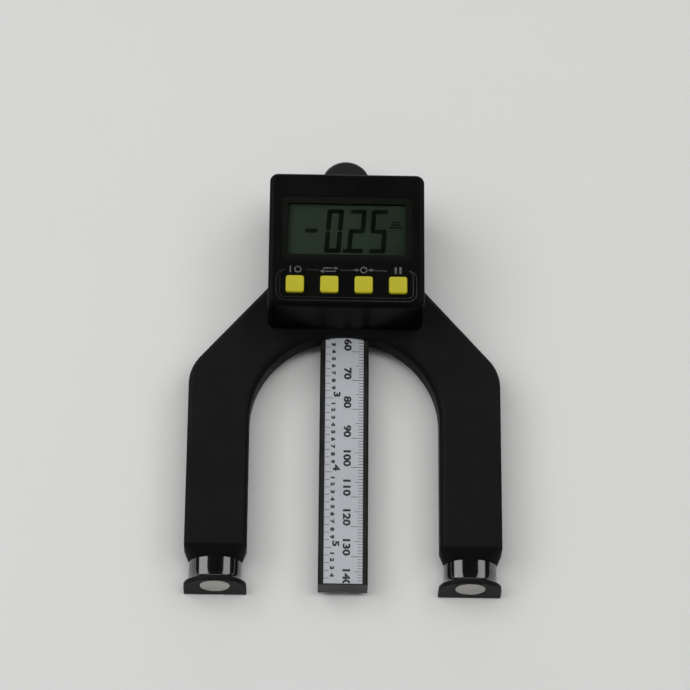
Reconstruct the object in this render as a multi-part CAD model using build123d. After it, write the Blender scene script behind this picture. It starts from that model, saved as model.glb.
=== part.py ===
from build123d import *
import math
import os

# Digital height gauge that stands astride a saw blade on two magnetic feet.
# Millimetres. X is across the legs, -Y is the display side, +Z is up.
# Z = 0 is the plane of the feet, with the tip of the beam resting in it.

# Housing, seen from the front
leg_gap = 60.0
leg_width = 19.5
arch_spring = 54.0
head_height = 47.0
crown_lip = 1.0
shoulder_rise = 15.1
shoulder_slope_deg = 49.3
shoulder_round = 14.0
head_corner = 2.7
leg_end = 8.0
leg_taper = 3.5

# Depths, measured from the face of the graduated strip
head_front_depth = 22.5
frame_front_depth = 4.8
frame_back_depth = 3.7
back_depth = 10.3

# Walls and edges of the two housing halves
wall = 2.0
rear_wall = 1.8
back_wall = 1.6
rear_edge_inset = 1.5
rear_arch_inset = 3.0
inner_edge_round = 2.5
outer_edge_round = 1.5
rear_edge_round = 1.0
rib_thick = 1.2
rib_setback = 1.5
leg_rib_pitch = 12.0
leg_rib_start = 30.0

# Beam and its graduated strip
beam_width = 15.5
beam_thick = 7.5
beam_crown = 3.5
beam_rim = 0.3
beam_chamfer = 0.6
strip_width = 12.2
strip_crown = 8.1
strip_foot = 0.4
label_thick = 0.2
grid_thick = 0.8
strip_fit = 0.05
beam_groove_width = 5.0
beam_groove_depth = 0.8
slide_gap = 0.1
channel_rib = 1.5
travel_up = 80.0
travel_down = 10.0
stop_gap = 0.2

# Gib behind the beam
gib_width = 12.0
gib_thick = 0.7
gib_end_gap = 0.3
gib_spring_thick = 0.2
gib_spring_width = 8.0
gib_spring_length = 34.0
gib_gap = 0.05

# Feet and magnets
foot_width = 19.6
foot_front_depth = 3.2
foot_corner = 8.0
foot_flange = 1.0
foot_root = 0.7
neck_width = 16.7
neck_corner = 7.0
neck_setback = 0.8
magnet_diameter = 9.5
magnet_thick = 4.0
magnet_depth = 2.6
magnet_fit = 0.05
plug_waist = 7.0
plug_head = 9.2
plug_head_height = 3.0
plug_front_gap = 2.2
plug_back_gap = 2.4
plug_fit = 0.1

# Display case
case_wall = 2.0
case_edge_round = 1.5
view_side_margin = 5.9
view_top_margin = 10.4
view_bottom_margin = 18.1
window_border = 2.0
window_recess = 1.0
window_sunk = 0.1
window_fit = 0.1
window_corner = 1.0
view_corner = 0.4

# Buttons
button_size = 5.6
button_corner = 0.8
button_edge = 0.4
button_proud = 1.0
button_end_margin = 8.45
button_rise = 7.2
button_count = 4
button_fit = 0.15
button_flange = 0.35
button_flange_thick = 0.8
button_stem = 1.2
button_travel = 0.6
button_seat_gap = 0.05

# Raised bead that frames the buttons, thin along its top
bead_width = 1.3
bead_top_width = 0.45
bead_proud = 0.25
bead_edge = 0.12
bead_side_margin = 2.45
bead_above = 5.35
bead_below = 5.6
bead_corner = 3.0
bead_gap = 7.2

# Parts of the display
lcd_overlap = 2.2
lcd_thick = 1.6
reflector_thick = 0.25
zebra_width = 1.8
zebra_end = 1.0
holder_rim = 0.9
holder_gap = 0.1
board_thick = 1.0
board_stand = 4.5
board_edge_gap = 0.6
board_notch = 4.6
board_foil_gap = 0.02

# Bosses, posts and screws
case_boss = 2.1
case_boss_low_side = 3.35
case_boss_low_rise = 2.4
case_boss_high_inset = 3.95
post_radius = 1.6
post_low_rise = 12.3
post_high_drop = 5.6
pilot_radius = 0.8
case_pilot_depth = 9.0
case_screw_head = 1.8
case_screw_head_thick = 1.3
case_screw_shank = 1.0
case_screw_grip = 9.0
frame_screw_head = 1.9
frame_screw_head_thick = 1.5
frame_screw_shank = 1.1
frame_screw_sunk = 1.0
frame_screw_bite = 4.2
board_screw_head = 1.5
board_screw_head_thick = 0.9
board_screw_shank = 0.7
board_screw_grip = 2.6
stop_screw_head = 1.9
stop_screw_head_thick = 0.95
stop_screw_shank = 1.0
stop_screw_grip = 3.0
screw_fit = 0.1
boss_wall = 1.5
recess_width = 0.5
recess_depth = 0.7

# Places of the housing screws and of the top screws beside the beam
leg_screw_height = 24.0
crown_screw_rise = 28.0
top_screw_drop = 10.0
cell_screw_rise = 18.0

# Switch domes and the small parts on the main board
dome_radius = 2.3
dome_height = 0.35
blob_radius = 4.5
blob_height = 1.5
chip_size = 5.0
chip_thick = 1.2
chip_side_gap = 3.5
chip_contact_gap = 0.5
capacitor_length = 2.0
capacitor_width = 1.2
capacitor_height = 0.9
capacitor_pitch = 3.2
part_row_rise = 8.0

# Sensor board, which reads the strip through a narrow gap
sensor_gap = 0.2
sensor_board_thick = 1.0
sensor_height = 30.0
sensor_rise = 8.0
sensor_side_gap = 0.2
sensor_window_width = 10.0
sensor_window_height = 18.0
sensor_chip_radius = 2.0
sensor_chip_height = 1.1
sensor_chip_rise = 21.0

# Flat flexible cable from the sensor board to the main board
flex_width = 6.0
flex_thick = 0.2
flex_bend = 1.2
flex_low_rise = 12.0
flex_rise = 4.0
flex_tail = 5.0
flex_lead = 4.0

# Button cell, its contacts and its door
cell_diameter = 11.6
cell_thick = 5.4
cell_inner_wall = 1.65
cell_outer_wall = 1.75
cell_drop = 10.0
cell_fit = 0.2
cell_cup = 1.1
cell_floor = 1.2
cell_step = 1.0
cell_edge = 0.5
contact_thick = 0.3
contact_width = 3.0
contact_pad_radius = 2.5
contact_rise = 0.35
contact_slot_gap = 0.25
minus_leg_rise = 3.0
door_thick = 1.2
door_width = 13.2
door_height = 17.0
door_tongue = 0.7
door_tongue_thick = 0.6
door_gap = 0.15
door_pad = 2.4
door_pad_rim = 1.0
door_grip_count = 4
door_grip_width = 0.7
door_grip_depth = 0.3
door_grip_pitch = 1.6
door_grip_length = 8.0

# One overrun for every cut that has to break out of a face
overrun = 1.0

# Flats that stand for the round of hidden posts and small screws
post_sides = 8
head_sides = 16
disc_sides = 24

# Planes and places worked out from the sizes above
half_gap = leg_gap / 2
half_width = half_gap + leg_width
leg_centre = half_gap + leg_width / 2
channel_half = beam_width / 2 + slide_gap
cell_pocket = cell_diameter / 2 + cell_fit
cell_x = channel_half + cell_inner_wall + cell_pocket
head_half = cell_x + cell_pocket + cell_outer_wall + rear_edge_inset
head_width = 2 * head_half
head_bottom = arch_spring + half_gap + crown_lip
head_top = head_bottom + head_height
shoulder_top = head_bottom + shoulder_rise
y_strip = (head_front_depth + button_proud - back_depth) / 2
y_head = y_strip - head_front_depth
y_frame = y_strip - frame_front_depth
y_split = y_strip + frame_back_depth
y_back = y_strip + back_depth
y_case_inside = y_head + case_wall
y_frame_inside = y_frame + wall
y_rear_inside = y_back - back_wall
y_beam = y_strip - beam_rim
y_beam_back = y_beam + beam_thick
y_foot = y_strip - foot_front_depth
y_lcd_back = y_case_inside + lcd_thick
y_board = y_case_inside + board_stand
y_board_back = y_board + board_thick
y_sensor_back = y_beam - sensor_gap
y_sensor = y_sensor_back - sensor_board_thick
view_width = head_width - 2 * view_side_margin
view_height = head_height - view_top_margin - view_bottom_margin
view_middle = head_bottom + view_bottom_margin + view_height / 2
button_row = head_bottom + button_rise
button_pitch = (head_width - 2 * button_end_margin) / (button_count - 1)
button_places = [
    ((step - (button_count - 1) / 2) * button_pitch, button_row) for step in range(button_count)
]
bead_half_width = head_half - bead_side_margin
case_boss_low = (head_half - case_boss_low_side, head_bottom + case_boss_low_rise)
case_boss_high = (head_half - case_boss_high_inset, head_top - case_boss_high_inset)
case_boss_places = [(side * x, z) for side in (-1, 1) for x, z in (case_boss_low, case_boss_high)]
post_places = [
    (side * button_pitch, height)
    for side in (-1, 1)
    for height in (head_bottom + post_low_rise, head_top - post_high_drop)
]
frame_screw_places = [
    (-leg_centre, leg_screw_height),
    (leg_centre, leg_screw_height),
    (-half_gap, arch_spring + crown_screw_rise),
    (half_gap, arch_spring + crown_screw_rise),
    (-cell_x, head_top - top_screw_drop),
    (cell_x, head_bottom + cell_screw_rise),
]
rear_top = head_top - rear_edge_inset
rear_arch_top = arch_spring + half_gap + rear_arch_inset
low_stop = rear_arch_top - travel_up - stop_screw_head - stop_gap
high_stop = rear_top + travel_down + stop_screw_head + stop_gap
beam_length = high_stop + stop_screw_head + beam_crown
strip_length = beam_length - strip_foot - strip_crown
sensor_bottom = head_bottom + sensor_rise
cell_height = rear_top - cell_drop
cell_back = y_back - door_thick - contact_thick
cell_front = cell_back - cell_thick
chip_x = cell_x - chip_side_gap
cell_seat = cell_front - contact_thick - contact_rise
plus_leg_height = cell_height - cell_diameter / 2 - contact_thick
minus_leg_height = cell_height + minus_leg_rise
chip_height = plus_leg_height - chip_contact_gap - chip_size / 2
door_bottom = rear_top - door_height


def slab(sketch, y_low, y_high):
    """Solid whose outline in X and Z is the sketch, from y_low to y_high."""
    return extrude(Plane.XZ.offset(-y_high) * sketch, amount=y_high - y_low)


def block(x_low, x_high, y_low, y_high, z_low, z_high):
    """Box between two limits on each axis."""
    centre = Pos((x_low + x_high) / 2, (y_low + y_high) / 2, (z_low + z_high) / 2)
    return centre * Box(x_high - x_low, y_high - y_low, z_high - z_low)


def rod(x, z, radius, y_low, y_high):
    """Round bar along Y."""
    return slab(Pos(x, z) * Circle(radius), y_low, y_high)


def post(x, z, radius, y_low, y_high, sides=post_sides):
    """Small round bar along Y, drawn with flats inside its radius."""
    return slab(Pos(x, z) * RegularPolygon(radius, sides), y_low, y_high)


def bore(x, z, radius, y_low, y_high, sides=post_sides):
    """Small round hole along Y, drawn with flats outside its radius."""
    return slab(Pos(x, z) * RegularPolygon(radius, sides, major_radius=False), y_low, y_high)


def mound(x, z, radius, rise, y_base):
    """Low round heap on the face at y_base; a negative rise lies towards the display side."""
    base = Plane.XZ.offset(-y_base) * (Pos(x, z) * RegularPolygon(radius, head_sides))
    crown = Plane.XZ.offset(-y_base - rise) * (Pos(x, z) * RegularPolygon(radius / 2, head_sides))
    return loft([base, crown])


def panel(x, z, width, height, corner):
    """Rounded rectangle drawn in X and Z."""
    return Pos(x, z) * RectangleRounded(width, height, corner)


def fused(pieces):
    """One shape from a list of shapes."""
    whole = pieces[0]
    for piece in pieces[1:]:
        whole += piece
    return whole


def shoulder_height(x, edge):
    """Height of the sloping shoulder at x, drawn in by edge."""
    slope = math.radians(shoulder_slope_deg)
    return shoulder_top - ((x - head_half) * math.sin(slope) + edge) / math.cos(slope)


def arch_outline(edge, arch, bottom):
    """Legs and crown below the head, drawn in by edge outside and by arch inside."""
    outer = half_width - edge
    neck = head_half - edge
    right = [(outer, bottom), (outer, shoulder_height(outer, edge)), (neck, shoulder_height(neck, edge))]
    left = [(-x, z) for x, z in reversed(right)]
    round_off = shoulder_round - edge
    line = FilletPolyline(*right, *left, radius=[0, round_off, 0, 0, round_off, 0], close=True)
    body = make_face(line)
    inner = half_gap + arch
    opening = Pos(0, (arch_spring - overrun) / 2) * Rectangle(2 * inner, arch_spring + overrun)
    return body - opening - Pos(0, arch_spring) * Circle(inner)


def tower_outline(edge, bottom):
    """Block behind the display, from the crown to the top of the head."""
    width = head_width - 2 * edge
    top = head_top - edge
    corner = head_corner - edge if head_corner > edge + view_corner else view_corner
    blank = Pos(0, (bottom + top) / 2) * Rectangle(width, top - bottom)
    corners = blank.vertices().group_by(Axis.Y)[-1]
    return fillet(corners, corner)


def screw(head_radius, head_thick, shank_radius, shank_length, sides=head_sides):
    """Pan-head screw along Y: head behind Y = 0, shank in front, cross recess in the head."""
    head = post(0, 0, head_radius, 0, head_thick, sides)
    rim = head.faces().sort_by(Axis.Y)[-1].edges()
    head = chamfer(rim, head_thick / 3)
    shank = post(0, 0, shank_radius, -shank_length, 0)
    reach = head_radius * 0.6
    floor = head_thick - recess_depth
    across = block(-reach, reach, floor, head_thick, -recess_width / 2, recess_width / 2)
    upright = block(-recess_width / 2, recess_width / 2, floor, head_thick, -reach, reach)
    return head + shank - across - upright


def foot_plan(width, y_low, y_high, corner):
    """Foot seen from above: rounded at the display side, square behind."""
    half = width / 2
    corner = min(corner, half - plug_fit)
    points = [(-half, y_low), (half, y_low), (half, y_high), (-half, y_high)]
    return make_face(FilletPolyline(*points, radius=[corner, corner, 0, 0], close=True))


def leg_tip(centre):
    """Lower end of a leg, drawn in to the round-fronted neck of the foot."""
    top_z = leg_end + leg_taper
    upper = foot_plan(leg_width, y_frame, y_back, inner_edge_round)
    lower = foot_plan(neck_width, y_foot + neck_setback, y_back, neck_corner)
    tip = loft([Pos(centre, 0, top_z) * upper, Pos(centre, 0, leg_end) * lower])
    return tip & block(centre - leg_width, centre + leg_width, y_frame, y_split, leg_end, top_z)


def frame_shell():
    """Outside of the front half, with its front edges rounded."""
    body = slab(arch_outline(0, 0, leg_end + leg_taper), y_frame, y_split)
    front = body.faces().sort_by(Axis.Y)[0]
    inner, outer = [], []
    for edge in front.edges():
        middle = edge @ 0.5
        flat_end = edge.bounding_box().size.Z < inner_edge_round
        if flat_end:
            continue
        if abs(middle.X) < half_gap + inner_edge_round and middle.Z < head_bottom:
            inner.append(edge)
        else:
            outer.append(edge)
    body = fillet(inner, inner_edge_round)
    outer = [edge for edge in body.edges() if any(edge.center() == old.center() for old in outer)]
    body = fillet(outer, outer_edge_round)
    tower = slab(tower_outline(0, head_bottom), y_frame, y_split)
    return fused([body, tower, leg_tip(-leg_centre), leg_tip(leg_centre)])


def channel_ribs(y_low, y_high, z_low, z_high):
    """Pair of walls that guide the sides of the beam."""
    outer = channel_half + channel_rib
    left = block(-outer, -channel_half, y_low, y_high, z_low, z_high)
    right = block(channel_half, outer, y_low, y_high, z_low, z_high)
    return [left, right]


def leg_ribs(inner, outer, y_low, y_high, first):
    """Cross ribs that stiffen both legs."""
    ribs = []
    height = first
    while height < arch_spring + leg_rib_pitch:
        for low, high in ((-outer, -inner), (inner, outer)):
            ribs.append(block(low, high, y_low, y_high, height - rib_thick / 2, height + rib_thick / 2))
        height += leg_rib_pitch
    return ribs


def plug_notch(centre, y_low, y_high):
    """Gap in a leg's end wall for the waist of the foot's plug."""
    half = plug_waist / 2 + plug_fit
    return block(centre - half, centre + half, y_low, y_high, leg_end - overrun, leg_end + wall + overrun)


def front_frame():
    """Front half of the housing: a hollow arch on two legs, open behind."""
    outside = frame_shell()
    cavity_floor = leg_end + wall
    cavity = arch_outline(wall, wall, cavity_floor) + tower_outline(wall, head_bottom + wall)
    hollow = slab(cavity, y_frame_inside, y_split + overrun)
    ribs = channel_ribs(y_frame_inside, y_split, arch_spring, head_top)
    ribs += leg_ribs(half_gap, half_width, y_frame_inside, y_split - rib_setback, leg_rib_start)
    ribs.append(block(-channel_half, channel_half, y_frame_inside, y_sensor,
                      sensor_bottom, sensor_bottom + sensor_height))
    for x, z in frame_screw_places:
        ribs.append(post(x, z, frame_screw_shank + boss_wall, y_frame_inside, y_split))
    body = outside - hollow + (fused(ribs) & outside)

    top = head_top + overrun
    body -= block(-channel_half, channel_half, y_beam - slide_gap, y_split + overrun, arch_spring, top)
    window_low = sensor_bottom + (sensor_height - sensor_window_height) / 2
    body -= block(-sensor_window_width / 2, sensor_window_width / 2, y_frame - overrun, y_sensor + overrun,
                  window_low, window_low + sensor_window_height)
    for height in (plus_leg_height, minus_leg_height):
        body -= contact_slot(height, y_frame - overrun, y_frame_inside + overrun)
    for x, z in frame_screw_places:
        body -= bore(x, z, pilot_radius + screw_fit, y_frame_inside + screw_fit, y_split + overrun)
    for x, z in case_boss_places:
        body -= bore(x, z, case_screw_shank + screw_fit, y_frame - overrun, y_frame_inside + overrun)
    for centre in (-leg_centre, leg_centre):
        body -= plug_notch(centre, y_frame_inside + plug_front_gap - plug_fit, y_split + overrun)
    cup = cell_pocket + cell_cup + plug_fit
    cup_front = cell_seat - cell_floor - plug_fit
    body -= block(channel_half - slide_gap, channel_half + channel_rib + overrun, cup_front, y_split + overrun,
                  cell_height - cup, cell_height + cup)
    return body


def contact_slot(height, y_low, y_high):
    """Slot that lets a battery contact's leg through a wall."""
    half = contact_width / 2 + contact_slot_gap
    middle = height + contact_thick / 2
    rise = contact_thick / 2 + contact_slot_gap
    return block(cell_x - half, cell_x + half, y_low, y_high, middle - rise, middle + rise)


def door_recess():
    """Room for the battery door and the tongues that hold it."""
    half = door_width / 2 + door_gap
    low = door_bottom - door_gap
    high = rear_top + overrun
    floor = y_back - door_thick - door_gap
    plate = block(cell_x - half, cell_x + half, floor, y_back + overrun, low, high)
    side = half + door_tongue
    tongues = block(cell_x - side, cell_x + side, floor, floor + door_tongue_thick + 2 * door_gap, low, high)
    return plate + tongues


def rear_frame():
    """Rear half of the housing, with the beam's channel and the battery cup."""
    outline = arch_outline(rear_edge_inset, rear_arch_inset, leg_end)
    outline += tower_outline(rear_edge_inset, head_bottom + rear_arch_inset)
    outside = slab(outline, y_split, y_back)
    back_edges = outside.faces().sort_by(Axis.Y)[-1].edges()
    outside = chamfer(back_edges, rear_edge_round)
    edge = rear_edge_inset + rear_wall
    arch = rear_arch_inset + rear_wall
    cavity = arch_outline(edge, arch, leg_end + wall)
    cavity += tower_outline(edge, head_bottom + arch)
    hollow = slab(cavity, y_split - overrun, y_rear_inside)
    ribs = channel_ribs(y_split, y_rear_inside, arch_spring, head_top)
    ribs += leg_ribs(half_gap, half_width, y_split + rib_setback, y_rear_inside, leg_rib_start)
    for x, z in frame_screw_places:
        ribs.append(post(x, z, frame_screw_head + boss_wall, y_split, y_rear_inside))
    pad_low = cell_x - door_width / 2 - door_pad_rim + door_gap
    ribs.append(block(pad_low, head_half, y_back - door_thick - door_pad, y_rear_inside,
                      door_bottom - door_pad_rim, head_top))
    body = outside - hollow + (fused(ribs) & outside)
    body += rod(cell_x, cell_height, cell_pocket + cell_cup, cell_seat - cell_floor, y_rear_inside)

    channel_back = y_beam_back + slide_gap
    body -= block(-channel_half, channel_half, y_split - overrun, channel_back, arch_spring, head_top)
    body -= rod(cell_x, cell_height, cell_pocket, cell_seat, y_back + overrun)
    body -= door_recess()
    half = contact_width / 2 + contact_slot_gap
    body -= block(cell_x - half, cell_x + half, cell_seat, y_back - door_thick,
                  plus_leg_height - contact_slot_gap, cell_height)
    for height in (plus_leg_height, minus_leg_height):
        body -= contact_slot(height, cell_seat - cell_floor - overrun, cell_seat + overrun)
    head_seat = y_back - frame_screw_sunk - frame_screw_head_thick
    for x, z in frame_screw_places:
        body -= bore(x, z, frame_screw_head + screw_fit, head_seat, y_back + overrun, head_sides)
        body -= bore(x, z, frame_screw_shank + screw_fit, y_split - overrun, head_seat)
    for centre in (-leg_centre, leg_centre):
        body -= plug_notch(centre, y_split - overrun, y_back - plug_back_gap + plug_fit)
    return body


def foot():
    """Magnet holder that plugs into the end of a leg."""
    flange = extrude(foot_plan(foot_width, y_foot, y_back, foot_corner), foot_flange)
    neck_front = y_foot + neck_setback
    neck_back = y_back - neck_setback
    neck_base = foot_plan(neck_width, neck_front, neck_back, neck_corner)
    neck = extrude(Pos(0, 0, foot_flange) * neck_base, leg_end - foot_flange)
    root_base = foot_plan(neck_width + 2 * foot_root, neck_front - foot_root, neck_back + foot_root,
                          neck_corner + foot_root)
    root = loft([Pos(0, 0, foot_flange) * root_base, Pos(0, 0, foot_flange + foot_root) * neck_base])
    body = fused([flange, neck, root])
    plug_front = y_frame_inside + plug_front_gap
    plug_back = y_back - plug_back_gap
    waist_top = leg_end + wall + plug_fit
    waist = plug_waist / 2
    body += block(-waist, waist, plug_front, plug_back, leg_end, waist_top)
    head = plug_head / 2
    body += block(-head, head, plug_front - overrun, plug_back + plug_fit,
                  waist_top, waist_top + plug_head_height)
    pocket_radius = magnet_diameter / 2 + magnet_fit
    pocket = Pos(0, y_strip + magnet_depth, magnet_thick / 2) * Cylinder(pocket_radius, magnet_thick)
    return body - pocket


def magnet():
    """Disc magnet, flush with the sole of the foot."""
    disc = Pos(0, y_strip + magnet_depth, magnet_thick / 2) * Cylinder(magnet_diameter / 2, magnet_thick)
    rim = disc.edges().filter_by(GeomType.CIRCLE).sort_by(Axis.Z)[0]
    return chamfer(rim, magnet_fit * 3)


def display_case():
    """Box that carries the display: open behind, with its front edges rounded."""
    middle = head_bottom + head_height / 2
    body = slab(panel(0, middle, head_width, head_height, head_corner), y_head, y_frame)
    front = body.faces().sort_by(Axis.Y)[0].edges()
    body = fillet(front, case_edge_round)
    inner = 2 * case_wall
    inner_corner = head_corner - case_edge_round
    body -= slab(panel(0, middle, head_width - inner, head_height - inner, inner_corner),
                 y_case_inside, y_frame + overrun)
    window = panel(0, view_middle, view_width + 2 * window_border,
                   view_height + 2 * window_border, window_corner)
    body -= slab(window, y_head - overrun, y_head + window_recess)
    body -= slab(panel(0, view_middle, view_width, view_height, view_corner),
                 y_head - overrun, y_case_inside + overrun)
    hole = button_size + 2 * button_fit
    for x, z in button_places:
        outline = panel(x, z, hole, hole, button_corner + button_fit)
        body -= slab(outline, y_head - overrun, y_case_inside + overrun)
    body += button_bead()
    for x, z in case_boss_places:
        body += post(x, z, case_boss, y_case_inside, y_frame)
        body -= bore(x, z, pilot_radius + screw_fit, y_frame - case_pilot_depth, y_frame + overrun)
    for x, z in post_places:
        body += post(x, z, post_radius, y_case_inside, y_board)
        body -= bore(x, z, board_screw_shank + screw_fit / 2, y_board - board_screw_grip, y_board + overrun)
    return body


def button_bead():
    """Raised line round the buttons, broken above each of them."""
    low = button_row - bead_below
    high = button_row + bead_above
    inner_low = low + bead_width
    inner_high = high - bead_top_width
    outer = panel(0, (low + high) / 2, 2 * bead_half_width, high - low, bead_corner)
    inner = panel(0, (inner_low + inner_high) / 2, 2 * (bead_half_width - bead_width),
                  inner_high - inner_low, bead_corner - bead_width)
    bead = slab(outer - inner, y_head - bead_proud, y_head)
    bead = chamfer(bead.edges().group_by(Axis.Y)[0], bead_edge)
    for x, z in button_places:
        bead -= block(x - bead_gap / 2, x + bead_gap / 2, y_head - overrun, y_head,
                      high - bead_corner, high + overrun)
    return bead


def display_window():
    """Clear window set into the front of the case."""
    width = view_width + 2 * (window_border - window_fit)
    height = view_height + 2 * (window_border - window_fit)
    outline = panel(0, view_middle, width, height, window_corner - window_fit)
    return slab(outline, y_head + window_sunk, y_head + window_recess)


def lcd_size():
    """Width and height of the display's glass."""
    return view_width + 2 * lcd_overlap, view_height + 2 * lcd_overlap


def lcd_panel():
    """Display: a front glass, with a longer rear glass that carries the contacts."""
    width, height = lcd_size()
    short = height - 2 * zebra_width / 2
    middle = y_case_inside + lcd_thick / 2
    front = slab(Pos(0, view_middle) * Rectangle(width, height), y_case_inside, middle)
    rear = slab(Pos(0, view_middle) * Rectangle(width, short), middle, y_lcd_back)
    return front + rear


def lcd_reflector():
    """Silver sheet behind the display's glass."""
    width, height = lcd_size()
    clear = height - 2 * (zebra_width + holder_gap)
    outline = Pos(0, view_middle) * Rectangle(width - 2 * holder_rim, clear - 2 * holder_gap)
    return slab(outline, y_lcd_back, y_lcd_back + reflector_thick)


def zebra_strips():
    """Two rubber contact strips between the display and the board."""
    width, height = lcd_size()
    strips = []
    for side in (-1, 1):
        z = view_middle + side * (height - zebra_width) / 2
        outline = Pos(0, z) * Rectangle(width - 2 * zebra_end, zebra_width)
        strips.append(slab(outline, y_lcd_back, y_board))
    return strips


def lcd_holder():
    """Frame that keeps the display and its contact strips in line."""
    width, height = lcd_size()
    gap = 2 * holder_gap
    inner = Rectangle(width + gap, height + gap)
    outer = Rectangle(width + gap + 2 * holder_rim / 2, height + gap + 2 * holder_rim)
    ring = Pos(0, view_middle) * (outer - inner)
    return slab(ring, y_case_inside, y_board)


def main_board():
    """Circuit board on the case's posts, notched round the corner bosses."""
    inside = head_width - 2 * case_wall - 2 * board_edge_gap
    tall = head_height - 2 * case_wall - 2 * board_edge_gap
    middle = head_bottom + head_height / 2
    body = slab(Pos(0, middle) * Rectangle(inside, tall), y_board, y_board_back)
    for x, z in case_boss_places:
        half = board_notch / 2
        body -= block(x - half, x + half, y_board - overrun, y_board_back + overrun, z - half, z + half)
    for x, z in case_boss_places:
        side = math.copysign(head_half, x)
        level = head_top if z > middle else head_bottom
        body -= block(min(x, side), max(x, side), y_board - overrun, y_board_back + overrun,
                      min(z, level), max(z, level))
    for x, z in post_places:
        body -= bore(x, z, board_screw_shank + screw_fit, y_board - overrun, y_board_back + overrun)
    return body


def switch_domes():
    """Sprung metal domes under the buttons."""
    return [mound(x, z, dome_radius, -dome_height, y_board) for x, z in button_places]


def board_parts():
    """Chip under its resin blob, a packaged chip, the cable socket and small parts."""
    row = head_bottom + part_row_rise
    parts = [mound(-chip_x, view_middle, blob_radius, blob_height, y_board_back)]
    half = chip_size / 2
    chip = block(chip_x - half, chip_x + half, y_board_back, y_board_back + chip_thick,
                 chip_height - half, chip_height + half)
    parts.append(chip)
    for step in range(-3, 4):
        x = step * capacitor_pitch
        half = capacitor_length / 2
        parts.append(block(x - capacitor_width / 2, x + capacitor_width / 2,
                           y_board_back, y_board_back + capacitor_height, row - half, row + half))
    socket_z = head_bottom + flex_low_rise
    socket_half = flex_width / 2 + capacitor_width
    socket = block(-socket_half, socket_half, y_board_back, y_board_back + flex_lead / 2,
                   socket_z - capacitor_width, socket_z + capacitor_width)
    slot_half = flex_width / 2 + board_foil_gap
    slot = block(-slot_half, slot_half, y_board_back + capacitor_height, y_board_back + flex_lead,
                 socket_z - flex_thick / 2 - board_foil_gap, socket_z + flex_thick / 2 + board_foil_gap)
    parts.append(socket - slot)
    return parts


def button(x):
    """Square push button with the flange that keeps it in the case."""
    cap = slab(panel(x, button_row, button_size, button_size, button_corner),
               y_head - button_proud, y_case_inside + button_seat_gap)
    rim = cap.faces().sort_by(Axis.Y)[0].edges()
    cap = chamfer(rim, button_edge)
    flange = button_size + 2 * button_flange
    flange_front = y_case_inside + button_seat_gap
    flange_back = flange_front + button_flange_thick
    plate = slab(Pos(x, button_row) * Rectangle(flange, flange), flange_front, flange_back)
    stem_end = y_board - dome_height - button_travel - button_seat_gap
    return cap + plate + post(x, button_row, button_stem, flange_back, stem_end)


def sensor_board():
    """Board that reads the strip, laid on its pad between the channel's ribs."""
    half = channel_half - sensor_side_gap
    return block(-half, half, y_sensor, y_sensor_back, sensor_bottom, sensor_bottom + sensor_height)


def sensor_chip():
    """Resin-covered chip on the front of the sensor board."""
    return mound(0, sensor_bottom + sensor_chip_rise, sensor_chip_radius, -sensor_chip_height, y_sensor)


def flex_cable():
    """Flat cable, bent from the socket on the main board to the sensor board."""
    low = head_bottom + flex_low_rise
    high = low + flex_rise
    start = y_board_back + capacitor_height + board_foil_gap
    end = y_sensor - flex_thick / 2 - board_foil_gap
    half_way = (start + end) / 2
    points = [(start, low), (half_way - flex_lead / 2, low), (half_way + flex_lead / 2, high),
              (end, high), (end, high + flex_tail)]
    path = FilletPolyline(*points, radius=flex_bend)
    outline = Plane.YZ * trace(path, line_width=flex_thick)
    return extrude(outline, flex_width / 2, both=True)


def button_cell():
    """Cell with its can stepped in to the smaller cap."""
    can = rod(cell_x, cell_height, cell_diameter / 2, cell_front + cell_edge, cell_back)
    rim = can.faces().sort_by(Axis.Y)[-1].edges()
    can = chamfer(rim, cell_edge / 2)
    cap_radius = cell_diameter / 2 - cell_step
    cap = post(cell_x, cell_height, cap_radius, cell_front, cell_front + cell_edge, disc_sides)
    return can + cap


def contact_plus():
    """Strip contact against the side of the cell, its leg on the main board."""
    half = contact_width / 2
    low = plus_leg_height
    return block(cell_x - half, cell_x + half, y_board_back, cell_back, low, low + contact_thick)


def contact_minus():
    """Pad under the cell with a raised spring tongue, its leg on the main board."""
    pad_back = cell_seat + contact_thick
    pad = post(cell_x, cell_height, contact_pad_radius + contact_thick, cell_seat, pad_back, disc_sides)
    rise = post(cell_x, cell_height, contact_pad_radius / 2, pad_back, cell_front)
    half = contact_width / 2
    low = minus_leg_height
    link = block(cell_x - half, cell_x + half, cell_seat, pad_back, cell_height, low + contact_thick)
    leg = block(cell_x - half, cell_x + half, y_board_back, pad_back, low, low + contact_thick)
    return pad + rise + link + leg


def battery_door():
    """Sliding door: a plate on two tongues, with finger grooves."""
    half = door_width / 2
    inside = y_back - door_thick
    plate = block(cell_x - half, cell_x + half, inside, y_back, door_bottom, rear_top)
    top_edge = plate.edges().filter_by(Axis.X).sort_by(Axis.Y)[-2:].sort_by(Axis.Z)[-1]
    plate = chamfer(top_edge, rear_edge_round)
    side = half + door_tongue
    tongues = block(cell_x - side, cell_x + side, inside, inside + door_tongue_thick, door_bottom, rear_top)
    body = plate + tongues
    grip = door_grip_length / 2
    for step in range(door_grip_count):
        z = door_bottom + door_height / 2 + (step - (door_grip_count - 1) / 2) * door_grip_pitch
        body -= block(cell_x - grip, cell_x + grip, y_back - door_grip_depth, y_back + overrun,
                      z - door_grip_width / 2, z + door_grip_width / 2)
    return body


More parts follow.
